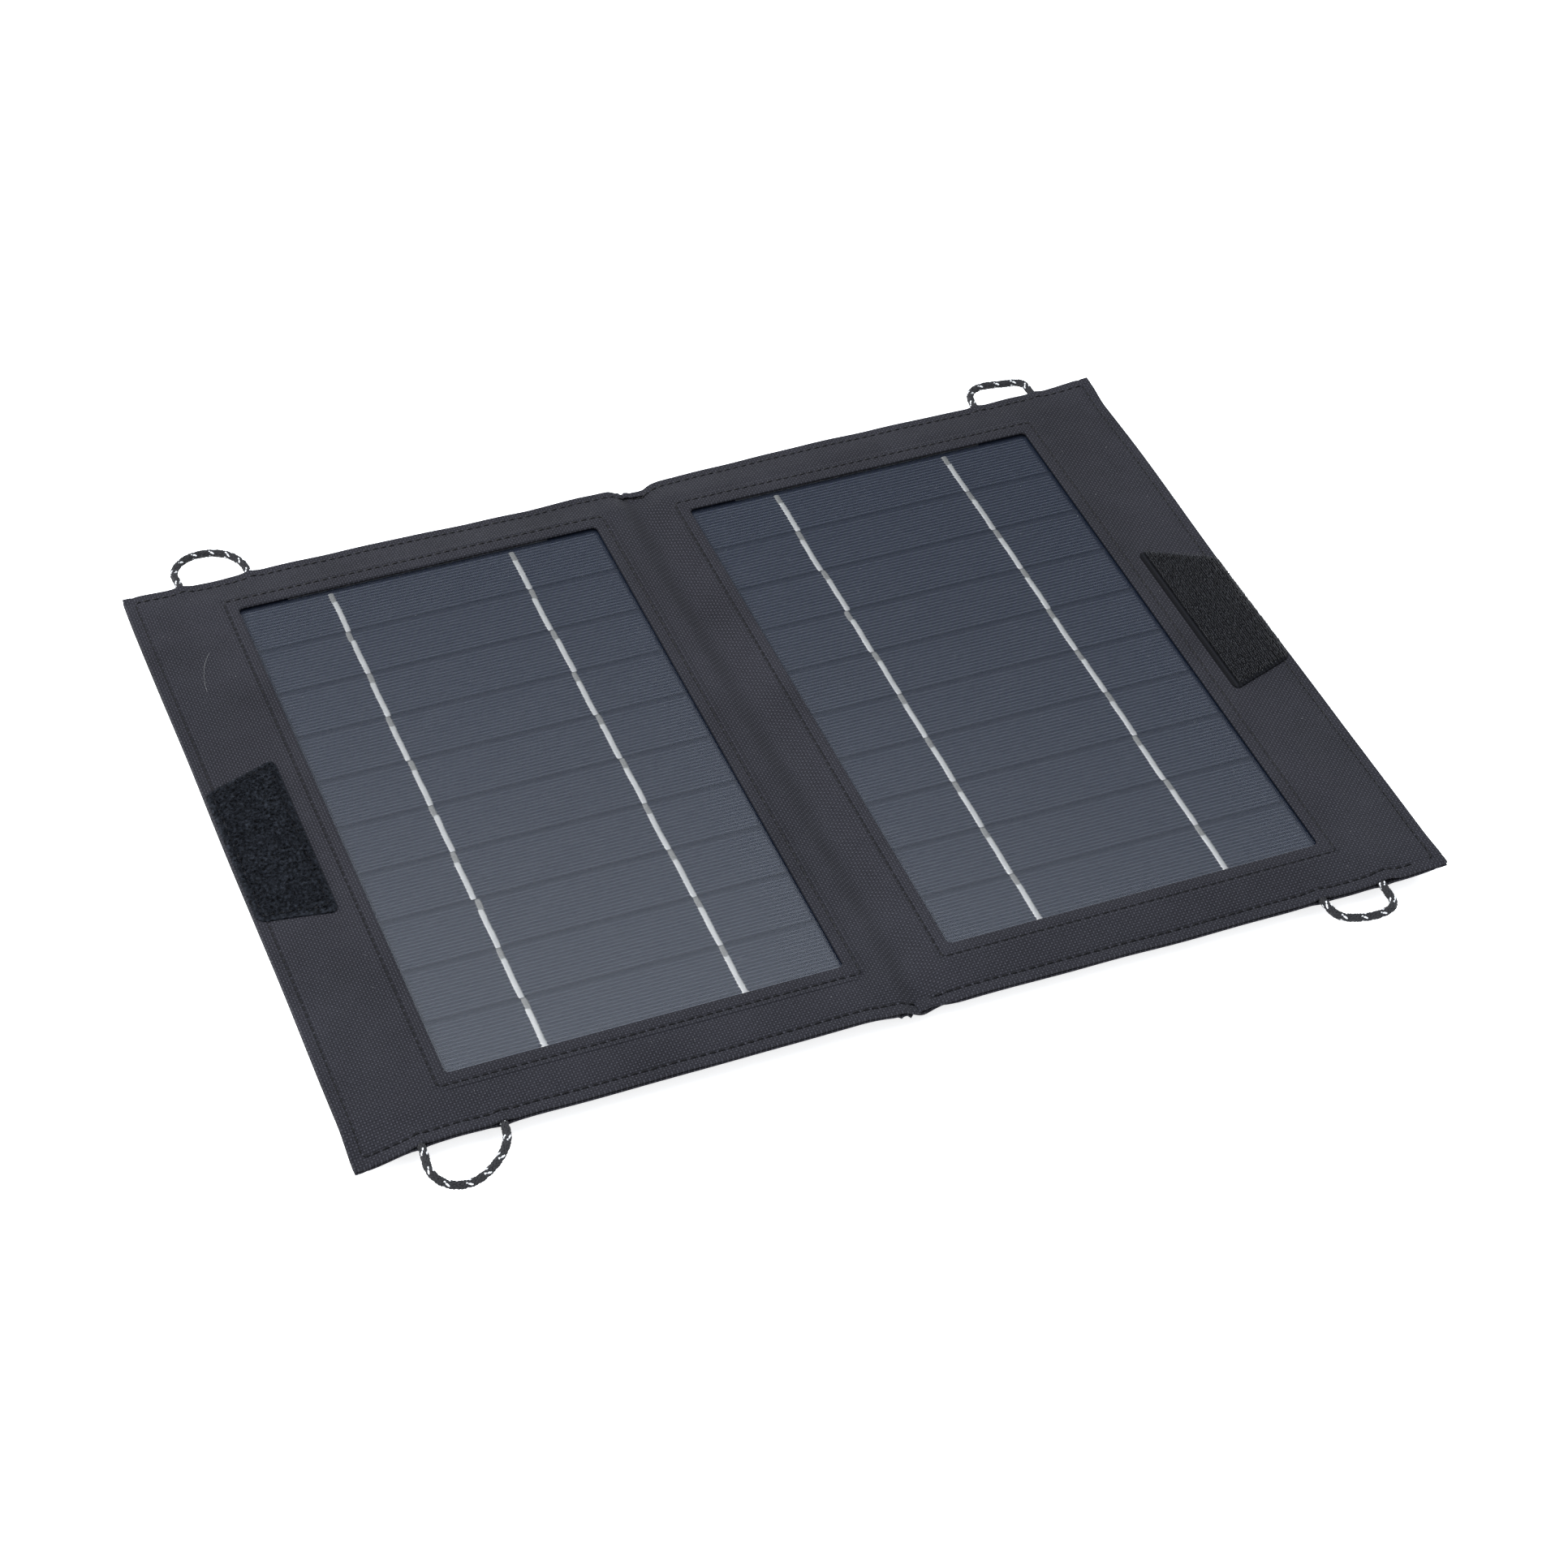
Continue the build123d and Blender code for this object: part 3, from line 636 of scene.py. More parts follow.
def tubes(paths, radius, sides=5):
    """Points and faces of one tube round each path; paths has the shape (tubes, points, 3)."""
    paths = np.asarray(paths, float)
    count, rings, _ = paths.shape
    along = np.gradient(paths, axis=1)
    along /= np.maximum(np.linalg.norm(along, axis=2, keepdims=True), 1e-9)
    first = np.cross(along, np.broadcast_to((0.0123, 0.0317, 1.0), along.shape))
    first /= np.maximum(np.linalg.norm(first, axis=2, keepdims=True), 1e-9)
    second = np.cross(along, first)
    turn = np.arange(sides) * 2 * math.pi / sides
    size = np.broadcast_to(radius, (count, rings))[..., None, None]
    around = first[:, :, None] * np.cos(turn)[:, None] + second[:, :, None] * np.sin(turn)[:, None]
    points = (paths[:, :, None] + around * size).reshape(-1, 3)
    t, r, k = np.meshgrid(np.arange(count), np.arange(rings - 1), np.arange(sides), indexing="ij")
    start, step = (t * rings + r) * sides, sides
    after = (k + 1) % sides
    corners = [start + k, start + step + k, start + step + after, start + after]
    faces = np.stack(corners, axis=-1).reshape(-1, 4)
    caps = []
    for end in (0, rings - 1):
        ring = (np.arange(count)[:, None] * rings + end) * sides + np.arange(sides)
        caps += (ring if end == 0 else ring[:, ::-1]).tolist()
    return points, faces.tolist() + caps


def stitch_paths(line, height, pitch=STITCH, seed=1):
    """Bent thread paths along a line of points in x and y."""
    pick = np.random.default_rng(seed)
    line = np.array(line, float)
    length = np.concatenate([[0], np.cumsum(np.linalg.norm(np.diff(line, axis=0), axis=1))])
    count = int(length[-1] / pitch)
    middle = (np.arange(count) + 0.5) * length[-1] / count + pick.normal(0, 0.1, count)
    reach = np.linspace(-0.5, 0.5, 7) * (pitch * 0.8)
    where = middle[:, None] + reach
    x, y = (np.interp(where, length, line[:, i]) for i in (0, 1))
    slant = pick.normal(0, 0.07, (count, 1)) * np.linspace(-1, 1, 7)
    x, y = x + slant, y + slant
    arch = np.array([-0.35, 0.1, 0.24, 0.28, 0.24, 0.1, -0.35])
    return np.stack([x, y, height(x, y) + arch], axis=-1)


thread = Finish("black polyester thread", roughness=0.5, specular_ior_level=0.25)
thread_x, thread_y, _ = thread.place()
twist = ((thread_x + thread_y * 0.7) * 9.0).math("SINE") * 0.5 + 0.5
thread.colour(twist, (0.002, 0.002, 0.003), (0.012, 0.012, 0.014))
thread.bump(twist, 0.05)


def box_line(x0, x1, y0, y1, corner=1.5):
    """A rounded rectangle as a line of points."""
    turn = np.linspace(0, math.pi / 2, 5)
    parts = []
    for cx, cy, start in ((x1, y0, -1), (x1, y1, 0), (x0, y1, 1), (x0, y0, 2)):
        sx, sy = (1 if cx == x1 else -1), (1 if cy == y1 else -1)
        angle = turn + start * math.pi / 2
        x, y = cx - sx * corner + corner * np.cos(angle), cy - sy * corner + corner * np.sin(angle)
        parts.append(np.stack([x, y], 1))
    ring = np.concatenate(parts)
    return np.concatenate([ring, ring[:1]])


def sewn(name, paths, finish=thread, radius=0.27):
    """One mesh of stitches."""
    return make_mesh(name, *tubes(np.concatenate(paths), radius), finish)


for side, (x0, x1, y0, y1) in WINDOWS.items():
    line = box_line(x0 - STITCH_OUT, x1 + STITCH_OUT, y0 - STITCH_UP, y1 + STITCH_UP)
    piece = sewn(f"{side}_window_stitches", [stitch_paths(line, front_height, seed=4)])
    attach(piece, f"{side}_panel")


def under_side(line, height, **settings):
    """Stitches like stitch_paths, but on a face that looks down."""
    paths = stitch_paths(line, lambda x, y: -height(x, y), **settings)
    paths[..., 2] *= -1
    return paths


stitch_x, stitch_y = HALF_X - EDGE_STITCH, HALF_Y - EDGE_STITCH
corners = box_line(-stitch_x, stitch_x, -stitch_y, stitch_y)
dense = np.concatenate([np.linspace(a, b, 60, endpoint=False) for a, b in zip(corners, corners[1:])])
edge_line = np.stack(edge_outline(dense[:, 0], dense[:, 1]), 1)
both_faces = [stitch_paths(edge_line, front_height, seed=6), under_side(edge_line, back_height, seed=7)]
edge_piece = bend(sewn("edge_stitches", both_faces))
print("edge stitches:", len(edge_piece.data.vertices), "points")

# %% [markdown]
# ## Solar cells
# A cell is a dark, polished slice of silicon. Thin silver fingers are printed across it to collect the
# current, and two tinned ribbons cross all of the fingers and carry it away. The fingers are fine but they
# are real metal lines, so each is a thin strip of its own: a picture or a wave pattern would blur at a low
# angle.
# %% Cells and fingers
silicon = Finish("silicon cell", roughness=0.24, specular_ior_level=0.5)
cloud = silicon.noise(0.012, detail=2.0)
grain = silicon.noise(0.2, detail=2.0)
silicon.colour(cloud * 0.8 + grain * 0.2, (0.004, 0.009, 0.023), (0.007, 0.014, 0.033))
silicon.set(roughness=grain * 0.12 + 0.18)
silicon.bump(grain, 0.02)
silver = Finish("printed silver", metallic=0.3, roughness=0.5)
spot = silver.noise(0.12, detail=2.0)
silver.colour(spot, (0.075, 0.088, 0.118), (0.10, 0.113, 0.142), roughness=spot * 0.3 + 0.35)
CELL_PITCH, CELL_TALL, FINGERS = 22.3, 20.83, 14
FINGER_WIDE, FINGER_PITCH, FINGER_REACH = 0.34, 1.45, 60.9
Z_CELL = span("left_cells")[1][2]
BAR_FACES = ((4, 5, 6, 7), (0, 1, 5, 4), (1, 2, 6, 5), (2, 3, 7, 6), (3, 0, 4, 7))


def strips(centres, half, z0, z1):
    """Flat bars with their sides, one for each centre (x, y); half is half of their size in x and y."""
    points, faces = [], []
    for x, y in centres:
        start = len(points)
        for z, shrink in ((z0, 1.0), (z1, 0.8)):
            for sx, sy in ((-1, -1), (1, -1), (1, 1), (-1, 1)):
                points.append((x + sx * half[0], y + sy * half[1] * shrink, z))
        faces += [[start + i for i in face] for face in BAR_FACES]
    return points, faces


def cell_starts(side):
    """The near edge of each of the ten cells of a side."""
    _, _, y0, y1 = WINDOWS[side]
    middle = (y0 + y1) / 2
    return [middle + (k - 5) * CELL_PITCH + (CELL_PITCH - CELL_TALL) / 2 for k in range(10)]


def finger_places(start):
    """The middle lines of the fingers of a cell whose near edge is at start."""
    first = start + (CELL_TALL - (FINGERS - 1) * FINGER_PITCH) / 2
    return [first + i * FINGER_PITCH for i in range(FINGERS)]


for side, (x0, x1, _, _) in WINDOWS.items():
    centres = [((x0 + x1) / 2, y) for start in cell_starts(side) for y in finger_places(start)]
    bars = strips(centres, (FINGER_REACH, FINGER_WIDE / 2), Z_CELL, Z_CELL + 0.03)
    piece = make_mesh(f"{side}_fingers", *bars, silver, smooth_shade=False)
    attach(piece, f"{side}_panel")
print("fingers:", FINGERS * 10, "on each half")

# %% [markdown]
# The ribbons are soldered by hand on small cells like these. Each cell has its own length, laid a fraction
# of a millimetre beside the last, dull where the iron touched it and bright elsewhere, and solder creeps a
# little way along every finger that it crosses.
# %% Ribbons
tinned = Finish("tinned ribbon", metallic=0.7)
streak = tinned.noise(0.5, detail=4.0, stretch=(2.4, 0.5, 1))
patchy = tinned.noise(0.11, detail=2.0, stretch=(0.2, 1, 1))
tinned.colour(streak, (0.72, 0.72, 0.71), (1.0, 1.0, 0.98))
tinned.set(roughness=patchy * 0.35 + streak * 0.2 + 0.1)
tinned.bump(streak, 0.05)
dull_tin = Finish("tin dulled by the iron", metallic=0.7)
crumb = dull_tin.noise(1.4, detail=4.0)
dull_tin.colour(crumb, (0.24, 0.24, 0.235), (0.52, 0.52, 0.50), roughness=crumb * 0.3 + 0.4)
dull_tin.bump(crumb, 0.08)
RIBBON_OUT, RIBBON_WIDE, IRONED = 31.25, 1.75, 4.6
RIBBON_CROWN = ((-1, 0.0), (-0.93, 0.09), (-0.5, 0.13), (0, 0.145), (0.5, 0.13), (0.93, 0.09), (1, 0.0))


def ribbon_piece(x, y0, y1, pick, teeth):
    """A length of ribbon with a crowned top, slightly wandering, with solder teeth beside the fingers."""
    count = max(6, int((y1 - y0) / 0.24))
    y = np.linspace(y0, y1, count)
    wander = x + pick.normal(0, 0.06) + np.sin(y * 0.35 + pick.uniform(0, 6)) * 0.06
    wide = np.full(count, RIBBON_WIDE / 2) + pick.normal(0, 0.03, count)
    for tooth in teeth:
        wide = wide + bell(y - tooth, 0.2) * pick.uniform(0.1, 0.34)
    wide[[0, -1]] -= 0.25
    rows = []
    for across, up in RIBBON_CROWN:
        lumps = pick.normal(0, 0.012 if abs(across) < 0.9 else 0.0, count)
        rows.append(np.stack([wander + across * wide, y, Z_CELL + 0.02 + up + lumps], 1))
    grid = np.stack(rows, 1)
    faces = []
    for i in range(count - 1):
        for j in range(6):
            a = i * 7 + j
            faces.append((a, a + 1, a + 8, a + 7))
    faces += [tuple(range(6, -1, -1)), tuple((count - 1) * 7 + j for j in range(7))]
    return grid.reshape(-1, 3).tolist(), faces


def merge(parts):
    """Several (points, faces) pairs as one."""
    points, faces = [], []
    for some, their in parts:
        faces += [[i + len(points) for i in face] for face in their]
        points += list(map(tuple, some))
    return points, faces


pick = np.random.default_rng(21)
for side, (x0, x1, y0, y1) in WINDOWS.items():
    bright, dull, jog = [], [], 0.0
    for line_x in ((x0 + x1) / 2 - RIBBON_OUT, (x0 + x1) / 2 + RIBBON_OUT):
        for number, start in enumerate(cell_starts(side)):
            jog = float(np.clip(-jog * 0.5 + pick.normal(0, 0.16), -0.28, 0.28))
            x, end = line_x + jog, start + CELL_TALL + (0.75 if number < 9 else -0.6)
            teeth = finger_places(start)
            bright.append(ribbon_piece(x, start - 0.45, end - IRONED, pick, teeth))
            dull.append(ribbon_piece(x + pick.normal(0, 0.16), end - IRONED - 0.3, end, pick, teeth))
    for name, parts, finish in (("ribbons_bright", bright, tinned), ("ribbons_dull", dull, dull_tin)):
        piece = make_mesh(f"{side}_{name}", *merge(parts), finish)
        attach(piece, f"{side}_panel")
        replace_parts(piece, f"{side}_ribbons")
print("ribbon pieces on each half:", len(bright) + len(dull))

# %% [markdown]
# ## Pile of the patches
# Hook and loop tape closes the folded panel. The soft side is a knit with thousands of fine loops raised by
# brushing. The other side has rows of stiff nylon hooks, woven as loops and then cut open. Both are made of
# their real elements, because the look of the two tapes comes from nothing else.
# %% Patch bases
LOOP_PATCH = [(-150.0, -35.5), (-150.0, 37.0), (-173.9, 30.5), (-173.9, -29.5)]
HOOK_PATCH = [(149.0, -38.3), (149.0, 36.3), (173.4, 26.5), (173.4, -28.0)]
PATCH_THICK, PATCH_STITCH, PATCH_PITCH, CORNER = 1.05, 2.2, 2.6, 2.4


def patch_point(corners, u, v):
    """A place on the patch: u runs from its inner to its outer edge, v from near to far."""
    (ix, iy0), (_, iy1), (ox, oy1), (_, oy0) = corners
    aside = np.clip(CORNER - np.minimum(u, 1 - u) * abs(ox - ix), 0, CORNER)
    cut = CORNER - np.sqrt(CORNER**2 - aside**2)
    y0, y1 = iy0 + (oy0 - iy0) * u + cut, iy1 + (oy1 - iy1) * u - cut
    return ix + (ox - ix) * u, y0 + (y1 - y0) * v


def patch_height(x, y):
    return front_height(x, y) + PATCH_THICK


def patch_base(name, corners, finish, node):
    u, v = np.meshgrid(np.linspace(0, 1, 60), np.linspace(0, 1, 160))
    x, y = patch_point(corners, u, v)
    inset = np.minimum(np.minimum(u, 1 - u) * 24, np.minimum(v, 1 - v) * 70)
    z = patch_height(x, y) - 0.35 * bell(inset - PATCH_STITCH, 0.6) - 0.45 * smooth(1 - inset / 1.1)
    index = np.arange(u.size).reshape(u.shape)
    turned = -1 if corners[0][0] < 0 else 1  # on the left, u runs the other way
    faces = grid_faces(index, turned)
    points = np.stack([x, y, z], -1).reshape(-1, 3).tolist()
    ring = ring_of(index, 0, index.shape[1] - 1, 0, index.shape[0] - 1)[::turned]
    out = outward_of(np.array([points[i] for i in ring]))
    roll_rows(points, faces, ring, out, [(0.15, -0.15), (0.1, -0.8), (-0.6, -1.0)], 1)
    piece = make_mesh(name, points, faces, finish)
    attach(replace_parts(piece, node), "left_panel" if turned < 0 else "right_panel")


loop_pile = Finish("knitted loop pile", roughness=0.85, specular_ior_level=0.1)
fuzz = loop_pile.noise(1.0, detail=3.0)
loop_pile.colour((fuzz - 0.5) * 3 + 0.5, (0.0004, 0.0006, 0.001), (0.019, 0.022, 0.029))
loop_pile.bump(fuzz, 0.5)
hook_tape = Finish("nylon hook tape", roughness=0.7, specular_ior_level=0.12)
tape_x, tape_y, _ = hook_tape.place()
rib = (tape_x * 4.2).math("SINE") * 0.5 + (tape_y * 7.0).math("SINE") * 0.25 + 0.5
hook_tape.colour(rib, (0.001, 0.0012, 0.002), (0.007, 0.0075, 0.010)).bump(rib, 0.12)
# painted highlight: the hooks are the same black nylon as the tape but are coloured lighter, in random light
# specks
hook_nylon_painted_highlight = Finish("nylon hooks with painted highlight", roughness=0.45, specular_ior_level=0.4)
sheared = hook_nylon_painted_highlight.noise(0.9, detail=2.0)
hook_nylon_painted_highlight.colour((sheared - 0.5) * 3 + 0.4, (0.002, 0.0022, 0.003), (0.050, 0.052, 0.059))
patch_base("loop_patch_base", LOOP_PATCH, loop_pile, "loop_patch")
patch_base("hook_patch_base", HOOK_PATCH, hook_tape, "hook_patch")

pick = np.random.default_rng(5)
LOOPS = 3400
u, v = pick.uniform(0.03, 0.97, LOOPS), pick.uniform(0.015, 0.985, LOOPS)
x, y = patch_point(LOOP_PATCH, u, v)
turn = np.linspace(-0.35, math.pi + 0.35, 9)
heading, size = pick.uniform(0, 2 * math.pi, LOOPS), pick.uniform(0.35, 0.85, LOOPS)
lean = pick.uniform(-0.6, 0.6, LOOPS)
sideways, upward = np.cos(turn) * size[:, None], (np.sin(turn) + 0.25) * size[:, None] * 0.72
drift = np.linspace(-1, 1, 9) * 0.3 + upward * lean[:, None]
paths = np.stack([
    x[:, None] + sideways * np.cos(heading)[:, None] - drift * np.sin(heading)[:, None],
    y[:, None] + sideways * np.sin(heading)[:, None] + drift * np.cos(heading)[:, None],
    patch_height(x, y)[:, None] + upward - 0.12,
], -1)
piece = make_mesh("loop_pile_fibres", *tubes(paths, 0.085, 3), loop_pile)
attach(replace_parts(piece, "loop_patch"), "left_panel")

rows_u, rows_v = np.linspace(0.075, 0.985, 30), np.linspace(0.012, 0.988, 74)
u, v = (a.ravel() for a in np.meshgrid(rows_u, rows_v))
u, v = u + pick.normal(0, 0.004, u.size), v + pick.normal(0, 0.0015, u.size)
x, y = patch_point(HOOK_PATCH, u, v)
bendy = np.array([(0, -0.1), (0, 0.35), (0.06, 0.75), (0.26, 1.0), (0.5, 1.0), (0.66, 0.82), (0.66, 0.62)])
facing = np.where(np.arange(u.size) % 2 == 0, 1.0, -1.0)[:, None]
paths = np.stack([
    x[:, None] + pick.normal(0, 0.04, (u.size, 1)) * bendy[:, 1],
    y[:, None] + bendy[:, 0] * facing,
    patch_height(x, y)[:, None] + bendy[:, 1] * 0.85,
], -1)
piece = make_mesh("hook_tape_hooks", *tubes(paths, 0.1, 4), hook_nylon_painted_highlight)
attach(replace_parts(piece, "hook_patch"), "right_panel")
for side, corners in (("left", LOOP_PATCH), ("right", HOOK_PATCH)):
    inset_u, inset_v = PATCH_STITCH / 24, PATCH_STITCH / 66
    ends = [(inset_u, inset_v), (1 - inset_u, inset_v), (1 - inset_u, 1 - inset_v), (inset_u, 1 - inset_v)]
    around = [patch_point(corners, *end) for end in ends + ends[:1]]
    sunk = 0.45 if side == "left" else 0.1  # the pile closes over its stitches, the hooks don't
    paths = stitch_paths(around, lambda x, y: patch_height(x, y) - sunk, pitch=PATCH_PITCH, seed=9)
    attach(sewn(f"{side}_patch_stitches", [paths]), f"{side}_panel")
print("pile loops:", LOOPS, "hooks:", len(x))

# %% [markdown]
# The cells are sealed in a clear, rubbery layer under a film. Both are clear, so they are one plate here,
# with a faint unevenness. What is seen of it is the mirror image of the room, so it covers little and
# reflects strongly.
# %% Film, and the layers under the cells
film = Finish("clear front film", base_color=(0.010, 0.013, 0.022), roughness=0.18, alpha=0.2, ior=2.2)
board = Finish("black glass fibre board", roughness=0.45)
board_grain = board.noise(0.8, detail=3.0)
board.colour(board_grain, (0.002, 0.007, 0.020), (0.005, 0.012, 0.030)).bump(board_grain, 0.03)
foam = Finish("grey backing foam", roughness=0.95)
pores = foam.noise(1.1, detail=4.0)
foam.colour(pores, (0.03, 0.03, 0.03), (0.09, 0.09, 0.09)).bump(pores, 0.3)


def paint(finish, *nodes):
    """Gives CAD nodes a finish."""
    for node in nodes:
        piece = bpy.data.objects[node]
        piece.data.materials.clear()
        piece.data.materials.append(finish.material)


for side in WINDOWS:
    low, high = span(f"{side}_front_film")
    x, y = np.meshgrid(np.linspace(low[0], high[0], 69), np.linspace(low[1], high[1], 119))
    index = np.arange(x.size).reshape(x.shape)
    z = Z_FILM - 0.02 + ripples(x, y, (7, 11, 17), 14) * 0.012
    points = np.stack([x, y, z], -1).reshape(-1, 3).tolist()
    faces = grid_faces(index)
    ring = ring_of(index, 0, index.shape[1] - 1, 0, index.shape[0] - 1)
    last = roll_rows(points, faces, ring, outward_of(np.array([points[i] for i in ring])), [(0, -0.5)], 1)
    piece = make_mesh(f"{side}_film_over_encapsulant", points, faces + [last[::-1]], film)
    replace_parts(piece, f"{side}_front_film", f"{side}_encapsulant")
    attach(piece, f"{side}_panel")
    paint(silicon, f"{side}_cells")
    paint(tinned, f"{side}_end_busbars")
    paint(board, f"{side}_backsheet")
    paint(foam, f"{side}_backing_board")
print("laminates painted")

# %% [markdown]
# ## Cord loops
# Four loops of thin braided cord are sewn into the seam. Such cord is woven by a machine that sends eight
# carriers one way round and eight the other, so every strand is a helix that dips under the strands it meets.
# Every other strand of one hand is white for a short stretch, at even distances, which shows as flecks. The
# route is a smooth spline through a few points, and the strands are wound round points read back from it.
# %% Routes of the cords (x, out from the edge, height above the seam, in metres)
CORD_WIDE = 2.5
CORDS = {
    "left_far": (1, 57.2, [
        (-0.1547, -0.004, 0.0), (-0.1547, 0.0035, 0.0), (-0.1552, 0.0106, -0.0006),
        (-0.1499, 0.017, -0.0012), (-0.1423, 0.0184, -0.0015), (-0.1352, 0.0149, -0.0012),
        (-0.132, 0.0084, -0.0005), (-0.1314, 0.0035, 0.0), (-0.1314, -0.004, 0.0),
    ]),
    "right_far": (1, 49.2, [
        (0.1314, -0.004, 0.0), (0.1314, 0.0032, 0.0), (0.1334, 0.0106, -0.0007),
        (0.1386, 0.0134, -0.001), (0.1462, 0.012, -0.001), (0.1539, 0.0104, -0.0008),
        (0.1537, 0.0032, 0.0), (0.1537, -0.004, 0.0),
    ]),
    "left_near": (-1, 55.2, [
        (-0.1546, -0.004, 0.0), (-0.1546, 0.0035, 0.0), (-0.1556, 0.0096, -0.0014),
        (-0.1516, 0.015, -0.0032), (-0.144, 0.0162, -0.0039), (-0.1366, 0.0126, -0.003),
        (-0.1316, 0.008, -0.0013), (-0.1298, 0.0035, 0.0), (-0.1298, -0.004, 0.0),
    ]),
    "right_near": (-1, 44.1, [
        (0.1319, -0.004, 0.0), (0.1319, 0.0032, 0.0), (0.134, 0.0079, -0.0014),
        (0.1406, 0.0098, -0.0023), (0.1474, 0.0104, -0.0025), (0.1532, 0.009, -0.0018),
        (0.1523, 0.0032, 0.0), (0.1523, -0.004, 0.0),
    ]),
}


def spline_points(name, route):
    """Points along the smooth spline of a route, in metres."""
    curve = bpy.data.curves.new(name, "CURVE")
    curve.dimensions, curve.resolution_u = "3D", 24
    spline = curve.splines.new("NURBS")
    spline.points.add(len(route) - 1)
    for point, place in zip(spline.points, route):
        point.co = (*place, 1.0)
    spline.order_u, spline.use_endpoint_u = 3, True
    holder = bpy.data.objects.new(name, curve)
    bpy.context.scene.collection.objects.link(holder)
    read = bpy.data.meshes.new_from_object(holder)
    points = np.array([v.co[:] for v in read.vertices])
    bpy.data.objects.remove(holder)
    return points


def frames(points):
    """Two directions square to the line at each point, carried along it without twist."""
    along = np.gradient(points, axis=0)
    along /= np.linalg.norm(along, axis=1, keepdims=True)
    side = np.cross(along[0], (0.1, 0.2, 1.0))
    first = []
    for direction in along:
        side = side - direction * np.dot(side, direction)
        side /= np.linalg.norm(side)
        first.append(side)
    first = np.array(first)
    return first, np.cross(along, first)


def even_points(points, step):
    """The same line with points an even step apart."""
    length = np.concatenate([[0], np.cumsum(np.linalg.norm(np.diff(points, axis=0), axis=1))])
    where = np.linspace(0, length[-1], int(length[-1] / step) + 1)
    return np.stack([np.interp(where, length, points[:, i]) for i in range(3)], 1), where


cord_black = Finish("black cord yarn", roughness=0.6, specular_ior_level=0.3)
yarn = cord_black.noise(2.2, detail=3.0)
cord_black.colour(yarn, (0.005, 0.005, 0.006), (0.028, 0.028, 0.032)).bump(yarn, 0.08)
cord_white = Finish("white tracer yarn", roughness=0.55)
white_yarn = cord_white.noise(2.2, detail=3.0)
cord_white.colour(white_yarn, (0.55, 0.56, 0.58), (0.85, 0.86, 0.88)).bump(white_yarn, 0.08)
STRANDS, TURN_LENGTH, STRAND_WIDE, FLECK = 8, 12.5, 0.32, 1.9

for name, (edge, length, route) in CORDS.items():
    placed = [(x, edge * (HALF_Y * MM + out), Z_SEAM * MM + up) for x, out, up in route]
    centre, where = even_points(spline_points(name, placed) / MM, 0.3)
    first, second = frames(centre)
    paths = []
    for hand in (1, -1):
        for k in range(STRANDS):
            angle = 2 * math.pi * (k / STRANDS + hand * where / TURN_LENGTH)
            dip = 0.13 * hand * np.cos(2 * math.pi * where * STRANDS / TURN_LENGTH + math.pi * k)
            out = (CORD_WIDE / 2 - STRAND_WIDE + dip)[:, None]
            turned = first * np.cos(angle)[:, None] * out + second * np.sin(angle)[:, None] * out
            paths.append(centre + turned)
    points, faces = tubes(paths, STRAND_WIDE, 6)
    core_points, core_faces = tubes([centre], CORD_WIDE / 2 - 0.42, 10)
    faces += [[i + len(points) for i in face] for face in core_faces]
    piece = make_mesh(f"{name}_cord", np.concatenate([points, core_points]), faces, cord_black)
    piece.data.materials.append(cord_white.material)
    per_strand = len(centre) * 6
    for face in piece.data.polygons:
        strand, corner = divmod(face.vertices[0], per_strand)
        fleck = where[corner // 6] % (TURN_LENGTH / 2) < FLECK if strand < STRANDS else False
        face.material_index = int(fleck and strand % 2 == 0)
    side = name.split("_")[0]
    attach(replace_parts(piece, f"{name}_cord_loop"), f"{side}_panel")
    print(name, "cord: spline", round(float(where[-1]), 1), "mm for", length)

# %% [markdown]
# ## Back of the panel
# A pocket of net cloth on the back holds the regulator box and the cable. It is one cut of cloth with a
# shallow and a deep part, sewn down along its border, with a coil zip let into it. Each zip coil is a nylon
# thread wound like a spring, which is why it is drawn as a helix and not as a row of teeth.
# %% Pocket
POCKET_BORDER = (10.3, 146.3, -92.0, 68.0)
POCKET_DEEP = (12.5, 143.5, -88.0, 26.0)
POCKET_SHALLOW = (12.5, 143.5, -88.0, 64.0)
ZIP_Y, ZIP_FROM, ZIP_TO, ZIP_SLOT = 45.0, 26.0, 134.0, 8.0
POCKET_STITCH = 1.6  # in from the border


def inside(rect, x, y):
    """Distance inwards from the sides of a rectangle."""
    x0, x1, y0, y1 = rect
    return np.minimum(np.minimum(x - x0, x1 - x), np.minimum(y - y0, y1 - y))


def pocket_height(x, y):
    """The pocket's outer face, seen from below; it stands on the ground at 0."""
    deep, shallow = smooth(inside(POCKET_DEEP, x, y) / 3.2), smooth(inside(POCKET_SHALLOW, x, y) / 3.2)
    height = 6.3 - 1.75 * shallow - 4.5 * deep * shallow
    slack = (ripples(x, y, (31, 44, 63), 31) + 1) * 0.22 * deep * smooth(inside(POCKET_DEEP, x, y) / 20)
    border = inside(POCKET_BORDER, x, y)
    near_zip = smooth(1 - (np.abs(y - ZIP_Y) - 4) / 3) * (x > ZIP_FROM - 4) * (x < ZIP_TO + 4)
    height += slack + 0.18 * bell(border - POCKET_STITCH, 0.6)
    return height - 0.25 * smooth((2.6 - border) / 0.6) - 0.15 * near_zip


